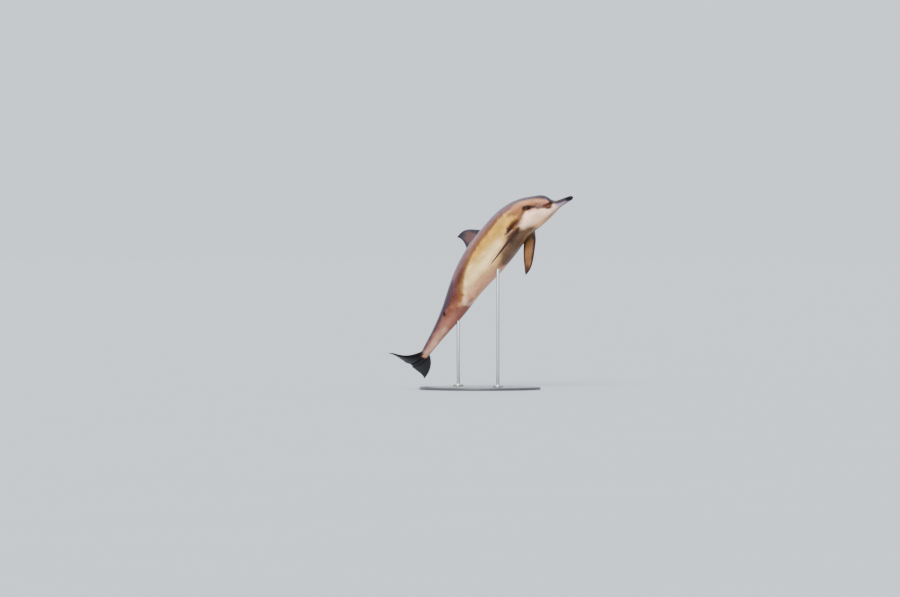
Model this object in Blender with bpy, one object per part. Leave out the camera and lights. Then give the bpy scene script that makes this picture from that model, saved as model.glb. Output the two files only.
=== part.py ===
"""A spinner dolphin (Stenella longirostris) in mid leap, life size, on a plain display stand.

Units are metres and Z is up. The body is first drawn straight, in body coordinates: x runs back
from the tip of the beak, y to the animal's right and z towards its back, all in percent of the
total length. A curved spine then carries every point into the leap. The stand is drawn upright.
"""

import math
from dataclasses import dataclass

import bmesh
import bpy
import numpy as np
from mathutils import Matrix, Vector

# --- sizes -----------------------------------------------------------------------------------
TOTAL_LENGTH = 1.90  # tip of the beak to the notch of the flukes, along the spine
PERCENT = TOTAL_LENGTH / 100
GAP = 0.0003  # between neighbouring pieces
TIP_AT = (0.600, -0.570, 1.266)  # the tip of the beak, from the centre of the base's underside

BODY_SIDES = 32  # points around the body
EYE_RADIUS = 0.0125
EYE_DEPTH = 0.75  # depth of the eye's centre under the skin, in eye radii
EYE_AT = 16.8  # body x of the eye
EYE_RISE = 1.2  # body z of the eye

BASE_RADIUS = 0.40
BASE_HEIGHT = 0.018
BASE_EDGE = 0.003
BASE_SIDES = 56
ROD_RADIUS = 0.011
ROD_SIDES = 24
COLLAR_RADIUS = 0.034
COLLAR_HEIGHT = 0.014
FRONT_ROD_AT = 39.0  # body x above each rod
REAR_ROD_AT = 69.0


@dataclass(frozen=True)
class Station:
    """One cross-section of the straight body, in percent of the total length."""

    x: float
    back: float  # height of the back above the spine
    belly: float  # depth of the belly below the spine
    half_width: float


BODY = (
    Station(0.0, 0.15, 0.20, 0.30),  # tip of the beak
    Station(0.5, 0.60, 0.62, 0.75),
    Station(2.5, 0.80, 1.00, 1.15),  # middle of the beak
    Station(7.2, 1.05, 1.85, 1.85),
    Station(9.3, 2.00, 2.40, 2.80),  # foot of the melon
    Station(12.0, 4.30, 3.35, 4.10),  # melon
    Station(16.0, 5.60, 4.60, 5.15),  # eye
    Station(21.0, 6.40, 5.70, 6.00),  # nape
    Station(28.0, 6.90, 6.70, 6.70),  # flippers
    Station(36.0, 7.40, 7.50, 7.05),  # chest
    Station(45.0, 7.65, 7.60, 7.10),  # front of the dorsal fin
    Station(55.0, 7.10, 7.05, 6.30),  # rear of the dorsal fin
    Station(65.0, 5.90, 5.80, 5.00),
    Station(75.0, 4.40, 4.65, 3.35),  # tail stock
    Station(84.0, 3.10, 3.20, 2.05),
    Station(91.0, 2.10, 2.10, 1.35),  # front of the flukes
    Station(95.0, 1.15, 1.15, 1.05),
    Station(98.0, 0.50, 0.50, 0.75),
    Station(100.0, 0.15, 0.15, 0.40),  # notch of the flukes
)


@dataclass(frozen=True)
class Bend:
    """The way the spine points at one body x, in degrees."""

    x: float
    rise: float  # upwards
    toward: float  # towards the front of the stand, -Y
    roll: float  # how far the belly turns to the front


LEAP = (
    Bend(0, 22.5, 39.0, 16.0),
    Bend(20, 22.5, 39.0, 16.0),
    Bend(34, 51.5, 38.0, 25.0),
    Bend(50, 52.0, 39.5, 38.5),
    Bend(66, 62.0, 27.0, 50.0),
    Bend(80, 57.5, 17.5, 49.5),
    Bend(92, 55.5, 19.0, 43.0),
    Bend(100, 14.0, 28.0, 30.0),
)

# Pieces of the body, each from one body x to the next.
PIECES = (
    ("head", 9.3, 20.0),
    ("neck", 20.0, 23.5),
    ("chest", 23.5, 40.0),
    ("midbody", 40.0, 56.0),
    ("hindbody", 56.0, 72.0),
    ("tail_stock", 72.0, 96.0),
)
RING_STEPS = {"head": 10, "neck": 2, "chest": 8, "midbody": 7, "hindbody": 8, "tail_stock": 13}


@dataclass(frozen=True)
class Blade:
    """A fin between a leading and a trailing edge, each a cubic curve from root to tip.

    The curves' points are (along the body, outward) in percent of the total length.
    """

    leading: tuple
    trailing: tuple
    root_thickness: float
    tip_thickness: float
    sink: float  # how far the root reaches into the body


DORSAL_FIN = Blade(
    leading=((41.5, 7.4), (47.5, 12.3), (51.0, 16.0), (56.2, 16.6)),
    trailing=((55.2, 6.9), (53.6, 11.3), (54.3, 14.0), (56.2, 16.6)),
    root_thickness=2.3,
    tip_thickness=0.35,
    sink=3.0,
)
FLUKE = Blade(
    leading=((90.6, 0.008), (94.0, 4.6), (98.0, 9.6), (101.5, 12.2)),
    trailing=((99.4, 0.008), (100.9, 2.4), (99.0, 8.8), (101.5, 12.2)),
    root_thickness=2.0,
    tip_thickness=0.3,
    sink=0.0,
)
FLIPPER = Blade(
    leading=((2.3, -1.5), (0.9, 5.0), (3.2, 11.6), (-0.4, 15.1)),
    trailing=((-2.1, -1.5), (-3.3, 4.0), (-1.9, 10.1), (-0.4, 15.1)),
    root_thickness=1.9,
    tip_thickness=0.3,
    sink=1.5,
)
BLADE_SPANS = 14
BLADE_CHORDS = 8
THINNEST_HALF = 0.0004  # half of the thickness left at a trailing edge
FLIPPER_ROOT = (25.9, 4.7, -4.7)  # body coordinates of the right one
# Directions of each flipper as (back, out, down): along the blade, then to its leading edge.
RIGHT_FLIPPER = ((0.34, 0.76, 0.55), (-0.91, 0.42, -0.03))
LEFT_FLIPPER = ((0.55, -0.10, 0.83), (-0.76, 0.35, 0.55))


# --- the straight body -----------------------------------------------------------------------
def monotone(knots, values, at):
    """A smooth curve through the knots that never overshoots them."""
    knots = np.asarray(knots, dtype=float)
    values = np.asarray(values, dtype=float)
    width = np.diff(knots)
    slope = np.diff(values) / width
    tangent = np.empty(len(knots))
    tangent[0] = slope[0]
    tangent[-1] = slope[-1]
    tangent[1:-1] = (slope[1:] * width[:-1] + slope[:-1] * width[1:]) / (width[1:] + width[:-1])
    for i, rate in enumerate(slope):
        for j in (i, i + 1):
            same_way = tangent[j] * rate > 0
            tangent[j] = math.copysign(min(abs(tangent[j]), 3 * abs(rate)), rate) if same_way else 0.0
    at = np.clip(at, knots[0], knots[-1])
    i = np.clip(np.searchsorted(knots, at, side="right") - 1, 0, len(width) - 1)
    t = (at - knots[i]) / width[i]
    return (
        (2 * t**3 - 3 * t**2 + 1) * values[i]
        + (t**3 - 2 * t**2 + t) * width[i] * tangent[i]
        + (3 * t**2 - 2 * t**3) * values[i + 1]
        + (t**3 - t**2) * width[i] * tangent[i + 1]
    )


def section(x):
    """(back, belly, half width) of the body at x."""
    places = [station.x for station in BODY]
    return tuple(
        float(monotone(places, [getattr(station, name) for station in BODY], x))
        for name in ("back", "belly", "half_width")
    )


def pinch(x):
    """How far the section is a lens, with a keel above and below, instead of an oval."""
    return 0.45 * float(np.interp(x, (70, 84, 92, 98), (0, 1, 1, 0.3)))


def around(x, angle, swell=0.0):
    """Body coordinates at one angle of the section: 0 is the back and a quarter turn the right."""
    back, belly, half = section(x)
    rise = math.cos(angle)
    height = (back if rise > 0 else belly) + swell
    y = (half + swell) * math.sin(angle) * (1 - pinch(x) * rise * rise)
    return x, y, height * rise


def mouth_height(x):
    """Body z of the line where the lips meet."""
    return -0.05 - 0.035 * x


# --- the leap --------------------------------------------------------------------------------
class Spine:
    """The curved line that the straight body is carried along."""

    def __init__(self, bends, tip):
        """Walk back from the tip of the beak, and keep the place and directions on the way.

        Args:
            bends: The directions of the spine, a Bend at each of a few places.
            tip: Where the tip of the beak is.
        """
        self.x = np.linspace(0, 100, 401)
        places = [bend.x for bend in bends]
        rise, toward, roll = (
            np.radians(monotone(places, [getattr(bend, name) for bend in bends], self.x))
            for name in ("rise", "toward", "roll")
        )
        level = np.cos(toward)
        self.forward = np.stack([np.cos(rise) * level, -np.sin(toward), np.sin(rise) * level], 1)
        side = np.stack([-np.cos(rise) * np.sin(toward), -level, -np.sin(rise) * np.sin(toward)], 1)
        up = np.cross(side, self.forward)
        turn = roll[:, None]
        self.right = side * np.cos(turn) + up * np.sin(turn)
        self.dorsal = up * np.cos(turn) - side * np.sin(turn)
        steps = -(self.forward[1:] + self.forward[:-1]) / 2 * np.diff(self.x)[:, None] * PERCENT
        self.line = np.vstack([np.zeros(3), np.cumsum(steps, axis=0)]) + np.array(tip)

    def directions(self, x):
        """(point, forward, right, dorsal) of the spine at x."""
        inside = min(max(x, 0.0), 100.0)
        return tuple(
            Vector([float(np.interp(inside, self.x, table[:, axis])) for axis in range(3)])
            for table in (self.line, self.forward, self.right, self.dorsal)
        )

    def place(self, x, y, z):
        """The point that body coordinates reach in the leap."""
        point, forward, right, dorsal = self.directions(x)
        beyond = x - min(max(x, 0.0), 100.0)
        return point + (right * y + dorsal * z - forward * beyond) * PERCENT


# --- making pieces ---------------------------------------------------------------------------
def clear_scene():
    """Remove the objects that the scene starts with."""
    for obj in list(bpy.data.objects):
        bpy.data.objects.remove(obj, do_unlink=True)


def material(name, color, roughness, metallic=0.0):
    """A Principled material of one colour, given as sRGB values from 0 to 1."""
    made = bpy.data.materials.new(name)
    made.use_nodes = True
    shader = made.node_tree.nodes["Principled BSDF"]
    linear = [((c + 0.055) / 1.055) ** 2.4 if c > 0.04045 else c / 12.92 for c in color]
    shader.inputs["Base Color"].default_value = (*linear, 1.0)
    shader.inputs["Roughness"].default_value = roughness
    shader.inputs["Metallic"].default_value = metallic
    made.diffuse_color = (*linear, 1.0)
    return made


def finish(name, mesh, finish_material, smooth=True):
    """Turn a bmesh into a scene object with outward faces.

    Args:
        name: The object's name.
        mesh: The bmesh, which is freed.
        finish_material: Its material.
        smooth: Whether the faces are shaded smooth between sharp edges.
    """
    bmesh.ops.recalc_face_normals(mesh, faces=mesh.faces)
    data = bpy.data.meshes.new(name)
    mesh.to_mesh(data)
    mesh.free()
    if smooth:
        data.shade_smooth()
        data.set_sharp_from_angle(angle=math.radians(40))
    data.materials.append(finish_material)
    obj = bpy.data.objects.new(name, data)
    bpy.context.scene.collection.objects.link(obj)
    return obj


def skin_between(mesh, rings):
    """Join each ring of points to the next with faces, and return the rings' vertices."""
    made = [[mesh.verts.new(point) for point in ring] for ring in rings]
    count = len(made[0])
    for one, two in zip(made, made[1:]):
        for i in range(count):
            j = (i + 1) % count
            mesh.faces.new((one[i], one[j], two[j], two[i]))
    return made


def loft(name, rings, finish_material):
    """A closed solid through the rings, with a flat face at each end."""
    mesh = bmesh.new()
    made = skin_between(mesh, rings)
    mesh.faces.new(made[0])
    mesh.faces.new(made[-1])
    return finish(name, mesh, finish_material)


def cut(obj, cutter):
    """Take the cutter's volume out of the object."""
    modifier = obj.modifiers.new(f"clear of {cutter.name}", "BOOLEAN")
    modifier.operation = "DIFFERENCE"
    modifier.solver = "EXACT"
    modifier.object = cutter


def hide_cutter(obj):
    """Keep a cutter out of the finished model."""
    obj.hide_render = True
    obj.display_type = "WIRE"


def body_ring(spine, x, swell=0.0):
    """The points around the bent body at x."""
    angles = [2 * math.pi * i / BODY_SIDES for i in range(BODY_SIDES)]
    return [spine.place(*around(x, angle, swell)) for angle in angles]


def beak_ring(spine, x, upper):
    """The points around one half of the beak: an arch over, or under, the line of the lips."""
    back, belly, half = section(x)
    sign = 1 if upper else -1
    height = back if upper else belly
    lips = mouth_height(x) + sign * GAP / 2 / PERCENT
    edge = math.acos(-lips / belly)  # angle, from straight down, where the lips meet the cheek
    reach = math.pi - edge if upper else edge
    arch = []
    for i in range(17):
        angle = -reach + 2 * reach * i / 16
        rise = math.cos(angle)
        tall = height if rise > 0 else belly
        arch.append((x, half * math.sin(angle), sign * tall * rise))
    inner = [(x, arch[-1][1] * share, lips) for share in (0.5, 0.0, -0.5)]
    return [spine.place(*point) for point in arch + inner]


def bezier(points, t):
    """The point at t, from 0 to 1, of a cubic curve."""
    weights = ((1 - t) ** 3, 3 * (1 - t) ** 2 * t, 3 * (1 - t) * t * t, t**3)
    return sum(w * p[0] for w, p in zip(weights, points)), sum(w * p[1] for w, p in zip(weights, points))


def wing_half(t):
    """Half of a wing section's thickness at t along its chord, as a share of the greatest."""
    shape = 0.2969 * math.sqrt(t) - 0.126 * t - 0.3516 * t**2 + 0.2843 * t**3 - 0.1036 * t**4
    return shape / 0.1


def blade_solid(name, blade, to_world, finish_material):
    """A fin with a wing section, lofted from its root to its tip.

    Args:
        name: The object's name.
        blade: Its outline and thickness.
        to_world: Takes (along, outward, off the middle plane) in percent to a point.
        finish_material: Its material.
    """
    mesh = bmesh.new()
    rings = []
    spans = [math.sin(0.5 * math.pi * i / BLADE_SPANS) * 0.985 for i in range(BLADE_SPANS + 1)]
    for number, share in enumerate(([0.0] if blade.sink else []) + spans):
        lead = bezier(blade.leading, share)
        trail = bezier(blade.trailing, share)
        sunk = blade.sink if blade.sink and number == 0 else 0.0
        thick = blade.root_thickness + (blade.tip_thickness - blade.root_thickness) * share**0.8
        upper = []
        lower = []
        for i in range(1, BLADE_CHORDS + 1):
            t = 0.5 * (1 - math.cos(math.pi * i / BLADE_CHORDS))
            half = max(wing_half(t) * thick / 2, THINNEST_HALF / PERCENT)
            along = lead[0] + (trail[0] - lead[0]) * t
            outward = lead[1] + (trail[1] - lead[1]) * t - sunk
            upper.append(to_world(along, outward, half))
            lower.append(to_world(along, outward, -half))
        front = to_world(lead[0], lead[1] - sunk, 0.0)
        rings.append([front] + upper + lower[::-1])
    made = skin_between(mesh, rings)
    for ring in (made[0], made[-1]):
        mesh.faces.new((ring[0], ring[1], ring[-1]))
        for i in range(1, BLADE_CHORDS):
            mesh.faces.new((ring[i], ring[i + 1], ring[-i - 1], ring[-i]))
    return finish(name, mesh, finish_material)


def ball(name, center, radius, finish_material):
    """A round ball."""
    mesh = bmesh.new()
    bmesh.ops.create_uvsphere(
        mesh, u_segments=16, v_segments=10, radius=radius, matrix=Matrix.Translation(center)
    )
    return finish(name, mesh, finish_material)


def drum(name, center, radius, low, high, finish_material, sides=ROD_SIDES, edge=0.0):
    """An upright cylinder.

    Args:
        name: The object's name.
        center: A point over or under its middle.
        radius: Its radius.
        low: The height of its lower face.
        high: The height of its upper face.
        finish_material: Its material.
        sides: The number of its sides.
        edge: The width of the bevel around its top, if any.
    """
    mesh = bmesh.new()
    middle = Matrix.Translation((center[0], center[1], (low + high) / 2))
    bmesh.ops.create_cone(
        mesh,
        cap_ends=True,
        segments=sides,
        radius1=radius,
        radius2=radius,
        depth=high - low,
        matrix=middle,
    )
    if edge:
        top = (low + high) / 2
        rim = [rim_edge for rim_edge in mesh.edges if all(vert.co.z > top for vert in rim_edge.verts)]
        bmesh.ops.bevel(mesh, geom=rim, offset=edge, segments=2, affect="EDGES", profile=0.5)
    return finish(name, mesh, finish_material)


# --- the animal ------------------------------------------------------------------------------
def make_body(spine, skin):
    """The head and the trunk in pieces, and the two halves of the beak.

    Returns:
        The pieces by name.
    """
    seam = GAP / 2 / PERCENT
    made = {}
    for name, start, end in PIECES:
        places = np.linspace(start, end, RING_STEPS[name] + 1)
        places[0] += seam
        places[-1] -= seam
        made[name] = loft(name, [body_ring(spine, float(x)) for x in places], skin)
    beak_end = PIECES[0][1]
    places = [0.0, 0.18, 0.5] + [0.5 + (beak_end - seam - 0.5) * i / 9 for i in range(1, 10)]
    made["beak_upper"] = loft("beak_upper", [beak_ring(spine, x, True) for x in places], skin)
    made["beak_lower"] = loft("beak_lower", [beak_ring(spine, x, False) for x in places], skin)
    return made


def make_clearance(spine, skin):
    """The whole body, swollen by the gap, which trims the roots of fins and the rods' tops."""
    places = []
    for name, start, end in PIECES:
        places += list(np.linspace(start, end, RING_STEPS[name] + 1))[:-1]
    places.append(PIECES[-1][2] + GAP / PERCENT)
    swell = 1.6 * GAP / PERCENT
    obj = loft("clearance", [body_ring(spine, float(x), swell) for x in places], skin)
    hide_cutter(obj)
    return obj


def make_fins(spine, clearance, skin):
    """The dorsal fin, the flukes and the flippers, each trimmed to the body."""
    made = [
        blade_solid(
            "dorsal_fin", DORSAL_FIN, lambda along, out, off: spine.place(along, off, out), skin
        ),
        blade_solid("fluke_right", FLUKE, lambda along, out, off: spine.place(along, out, off), skin),
        blade_solid("fluke_left", FLUKE, lambda along, out, off: spine.place(along, -out, off), skin),
    ]
    for side, name, directions in (
        (1, "flipper_right", RIGHT_FLIPPER),
        (-1, "flipper_left", LEFT_FLIPPER),
    ):
        x, y, z = FLIPPER_ROOT
        root = spine.place(x, side * y, z)
        _, forward, right, dorsal = spine.directions(x)
        axis, lead = (
            (-forward * back + right * (side * out) - dorsal * down).normalized()
            for back, out, down in directions
        )
        lead = (lead - axis * lead.dot(axis)).normalized()
        flat = axis.cross(lead)

        def to_world(along, out, off, root=root, axis=axis, lead=lead, flat=flat):
            return root + (lead * along + axis * out + flat * off) * PERCENT

        made.append(blade_solid(name, FLIPPER, to_world, skin))
    for fin in made:
        cut(fin, clearance)


def make_eyes(spine, head, eye_finish):
    """The eyes, each in a socket of the head."""
    back, _, half = section(EYE_AT)
    angle = math.acos(EYE_RISE / back)
    deep = EYE_DEPTH * EYE_RADIUS / PERCENT
    for side, name in ((1, "eye_right"), (-1, "eye_left")):
        out = half * math.sin(angle) - deep * math.sin(angle)
        up = EYE_RISE - deep * math.cos(angle)
        center = spine.place(EYE_AT, side * out, up)
        ball(name, center, EYE_RADIUS, eye_finish)
        socket = ball(f"socket_{name}", center, EYE_RADIUS + 1.5 * GAP, eye_finish)
        hide_cutter(socket)
        cut(head, socket)


# --- the stand -------------------------------------------------------------------------------
def make_base(finish_material):
    """A flat disc centred on the origin, standing on z = 0."""
    drum("stand_base", (0, 0), BASE_RADIUS, 0.0, BASE_HEIGHT, finish_material, BASE_SIDES, BASE_EDGE)


def make_rods(spine, clearance, finish_material):
    """Two upright rods, each on a collar on the base and trimmed to the belly."""
    for name, x in (("front", FRONT_ROD_AT), ("rear", REAR_ROD_AT)):
        above, _, _, _ = spine.directions(x)
        foot = BASE_HEIGHT + GAP
        collar_top = foot + COLLAR_HEIGHT
        collar = f"stand_collar_{name}"
        drum(collar, above, COLLAR_RADIUS, foot, collar_top, finish_material, edge=BASE_EDGE / 2)
        rod = drum(
            f"stand_rod_{name}", above, ROD_RADIUS, collar_top + GAP, above.z, finish_material
        )
        cut(rod, clearance)


def main():
    """Build the model."""
    clear_scene()
    skin = material("dolphin skin", (0.55, 0.42, 0.36), 0.35)
    fin_skin = material("dark fin skin", (0.20, 0.16, 0.16), 0.35)
    eye_finish = material("wet dark eye", (0.05, 0.035, 0.03), 0.08)
    steel = material("brushed steel", (0.62, 0.62, 0.61), 0.35, metallic=1.0)
    paint = material("dark plate paint", (0.10, 0.10, 0.11), 0.45)

    spine = Spine(LEAP, TIP_AT)
    body = make_body(spine, skin)
    clearance = make_clearance(spine, skin)
    make_fins(spine, clearance, fin_skin)
    make_eyes(spine, body["head"], eye_finish)
    make_base(paint)
    make_rods(spine, clearance, steel)


main()
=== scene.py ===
"""A spinner dolphin in mid leap, life size, on a plain display stand.

One closed skin stands for all the solids of flesh. It is shaped straight, in body coordinates: x
runs back from the tip of the beak, y to the animal's right and z towards its back, all in percent
of its length. A curved spine then carries every point into the leap. Angles around the body are
measured from the back, so a quarter turn is the animal's right side and a half turn its belly.
"""

import logging
import math
from collections.abc import Callable, Sequence
from dataclasses import dataclass, field
from enum import Enum

import bpy
import numpy as np
from bpy.types import Material, Mesh, Node, NodeSocket, NodeTree, Object
from mathutils import Matrix, Vector
from numpy import ndarray


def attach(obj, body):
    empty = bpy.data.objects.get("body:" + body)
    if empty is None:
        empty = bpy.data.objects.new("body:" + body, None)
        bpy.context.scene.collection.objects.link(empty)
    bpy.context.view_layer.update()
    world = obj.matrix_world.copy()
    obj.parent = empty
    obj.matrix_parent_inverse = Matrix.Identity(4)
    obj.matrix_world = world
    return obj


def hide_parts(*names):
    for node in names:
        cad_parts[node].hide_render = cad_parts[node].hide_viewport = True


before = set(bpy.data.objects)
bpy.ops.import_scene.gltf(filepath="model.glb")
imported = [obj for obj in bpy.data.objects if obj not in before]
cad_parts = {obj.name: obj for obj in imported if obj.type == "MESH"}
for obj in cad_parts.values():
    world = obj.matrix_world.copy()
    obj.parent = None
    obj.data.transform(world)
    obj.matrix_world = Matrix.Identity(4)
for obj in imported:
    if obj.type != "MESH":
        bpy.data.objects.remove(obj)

LOG = logging.getLogger("spinner dolphin")

TOTAL_LENGTH = 1.90  # tip of the beak to the notch of the flukes, in metres
PERCENT = TOTAL_LENGTH / 100
MM = 0.1 / TOTAL_LENGTH  # a millimetre in percent of the length
SIDES = 96  # points around the body
FLESH = tuple(
    "beak_upper beak_lower head neck chest midbody hindbody tail_stock dorsal_fin"
    " fluke_left fluke_right flipper_left flipper_right".split()
)
FIN_KINDS = ("dorsal", "fluke", "flipper")
OPENING = 9  # marks the points of the lids and the blowhole, as each fin's number marks its own


class Hand(Enum):
    """The two sides of the animal."""

    RIGHT = 1
    LEFT = -1


# --- curves and the leap ---------------------------------------------------------------------
def monotone(knots: Sequence[float], values: Sequence[float], at: ndarray) -> ndarray:
    """A smooth curve through the knots that never overshoots them.

    Args:
        knots: Where the curve is known.
        values: Its values there.
        at: Where to read it.

    Returns:
        The curve's values.
    """
    knots = np.asarray(knots, dtype=float)
    values = np.asarray(values, dtype=float)
    width = np.diff(knots)
    slope = np.diff(values) / width
    tangent = np.empty(len(knots))
    tangent[0] = slope[0]
    tangent[-1] = slope[-1]
    tangent[1:-1] = (slope[1:] * width[:-1] + slope[:-1] * width[1:]) / (width[1:] + width[:-1])
    for i, rate in enumerate(slope):
        for j in (i, i + 1):
            same_way = tangent[j] * rate > 0
            tangent[j] = math.copysign(min(abs(tangent[j]), 3 * abs(rate)), rate) if same_way else 0.0
    at = np.clip(at, knots[0], knots[-1])
    i = np.clip(np.searchsorted(knots, at, side="right") - 1, 0, len(width) - 1)
    t = (at - knots[i]) / width[i]
    return (
        (2 * t**3 - 3 * t**2 + 1) * values[i]
        + (t**3 - 2 * t**2 + t) * width[i] * tangent[i]
        + (3 * t**2 - 2 * t**3) * values[i + 1]
        + (t**3 - t**2) * width[i] * tangent[i + 1]
    )


def ramp(value: ndarray | float, start: float, end: float) -> ndarray | float:
    """A smooth step from 0 at the start to 1 at the end, which may lie on either side of it."""
    t = np.clip((value - start) / (end - start), 0.0, 1.0)
    return t * t * (3 - 2 * t)


def unit(vectors: ndarray) -> ndarray:
    """The vectors at length 1."""
    return vectors / np.maximum(np.linalg.norm(vectors, axis=-1, keepdims=True), 1e-9)


@dataclass(frozen=True)
class Bend:
    """The way the spine points at one body x, in degrees."""

    x: float
    rise: float  # upwards
    toward: float  # towards the front of the stand, -Y
    roll: float  # how far the belly turns to the front


class Spine:
    """The curved line that the straight body is carried along."""

    LEAP = (
        Bend(0, 22.5, 39.0, 16.0),
        Bend(20, 22.5, 39.0, 16.0),
        Bend(34, 51.5, 38.0, 25.0),
        Bend(50, 52.0, 39.5, 38.5),
        Bend(66, 62.0, 27.0, 50.0),
        Bend(80, 57.5, 17.5, 49.5),
        Bend(92, 55.5, 19.0, 43.0),
        Bend(100, 14.0, 28.0, 30.0),
    )
    TIP_AT = (0.600, -0.570, 1.266)  # the tip of the beak
    PLACES = 401  # kept along the line, for reading between them

    def __init__(self) -> None:
        """Walk back from the tip of the beak, and keep the place and directions on the way."""
        self.x = np.linspace(0, 100, self.PLACES)
        places = [bend.x for bend in self.LEAP]
        rise, toward, roll = (
            np.radians(monotone(places, [getattr(bend, name) for bend in self.LEAP], self.x))
            for name in ("rise", "toward", "roll")
        )
        level = np.cos(toward)
        forward = np.stack([np.cos(rise) * level, -np.sin(toward), np.sin(rise) * level], 1)
        side = np.stack([-np.cos(rise) * np.sin(toward), -level, -np.sin(rise) * np.sin(toward)], 1)
        up = np.cross(side, forward)
        turn = roll[:, None]
        right = side * np.cos(turn) + up * np.sin(turn)
        dorsal = up * np.cos(turn) - side * np.sin(turn)
        steps = -(forward[1:] + forward[:-1]) / 2 * np.diff(self.x)[:, None] * PERCENT
        line = np.vstack([np.zeros(3), np.cumsum(steps, axis=0)]) + np.array(self.TIP_AT)
        self.tables = (line, forward, right, dorsal)

    def place(self, points: ndarray, anchor: ndarray | None = None) -> ndarray:
        """Carry body coordinates into the leap.

        Args:
            points: Body coordinates, one row each.
            anchor: The body x whose directions each point follows, if not its own.

        Returns:
            The points in metres.
        """
        inside = np.clip(points[:, 0] if anchor is None else anchor, 0.0, 100.0)
        line, forward, right, dorsal = (
            np.stack([np.interp(inside, self.x, table[:, axis]) for axis in range(3)], 1)
            for table in self.tables
        )
        beyond = (points[:, 0] - inside)[:, None]
        across = right * points[:, 1:2] + dorsal * points[:, 2:3]
        return line + (across - forward * beyond) * PERCENT


# --- the straight body -----------------------------------------------------------------------
@dataclass(frozen=True)
class Station:
    """One cross-section of the straight body, in percent of the total length."""

    x: float
    back: float  # height of the back above the spine
    belly: float  # depth of the belly below the spine
    half_width: float


@dataclass(frozen=True)
class Swell:
    """A gentle rise or hollow of the skin, on both sides alike."""

    name: str
    x: float
    angle: float  # degrees from the back
    length: float  # along the body, in percent, to where it has faded by half
    breadth: float  # around the body
    height: float  # in millimetres, and below zero for a hollow


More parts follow.
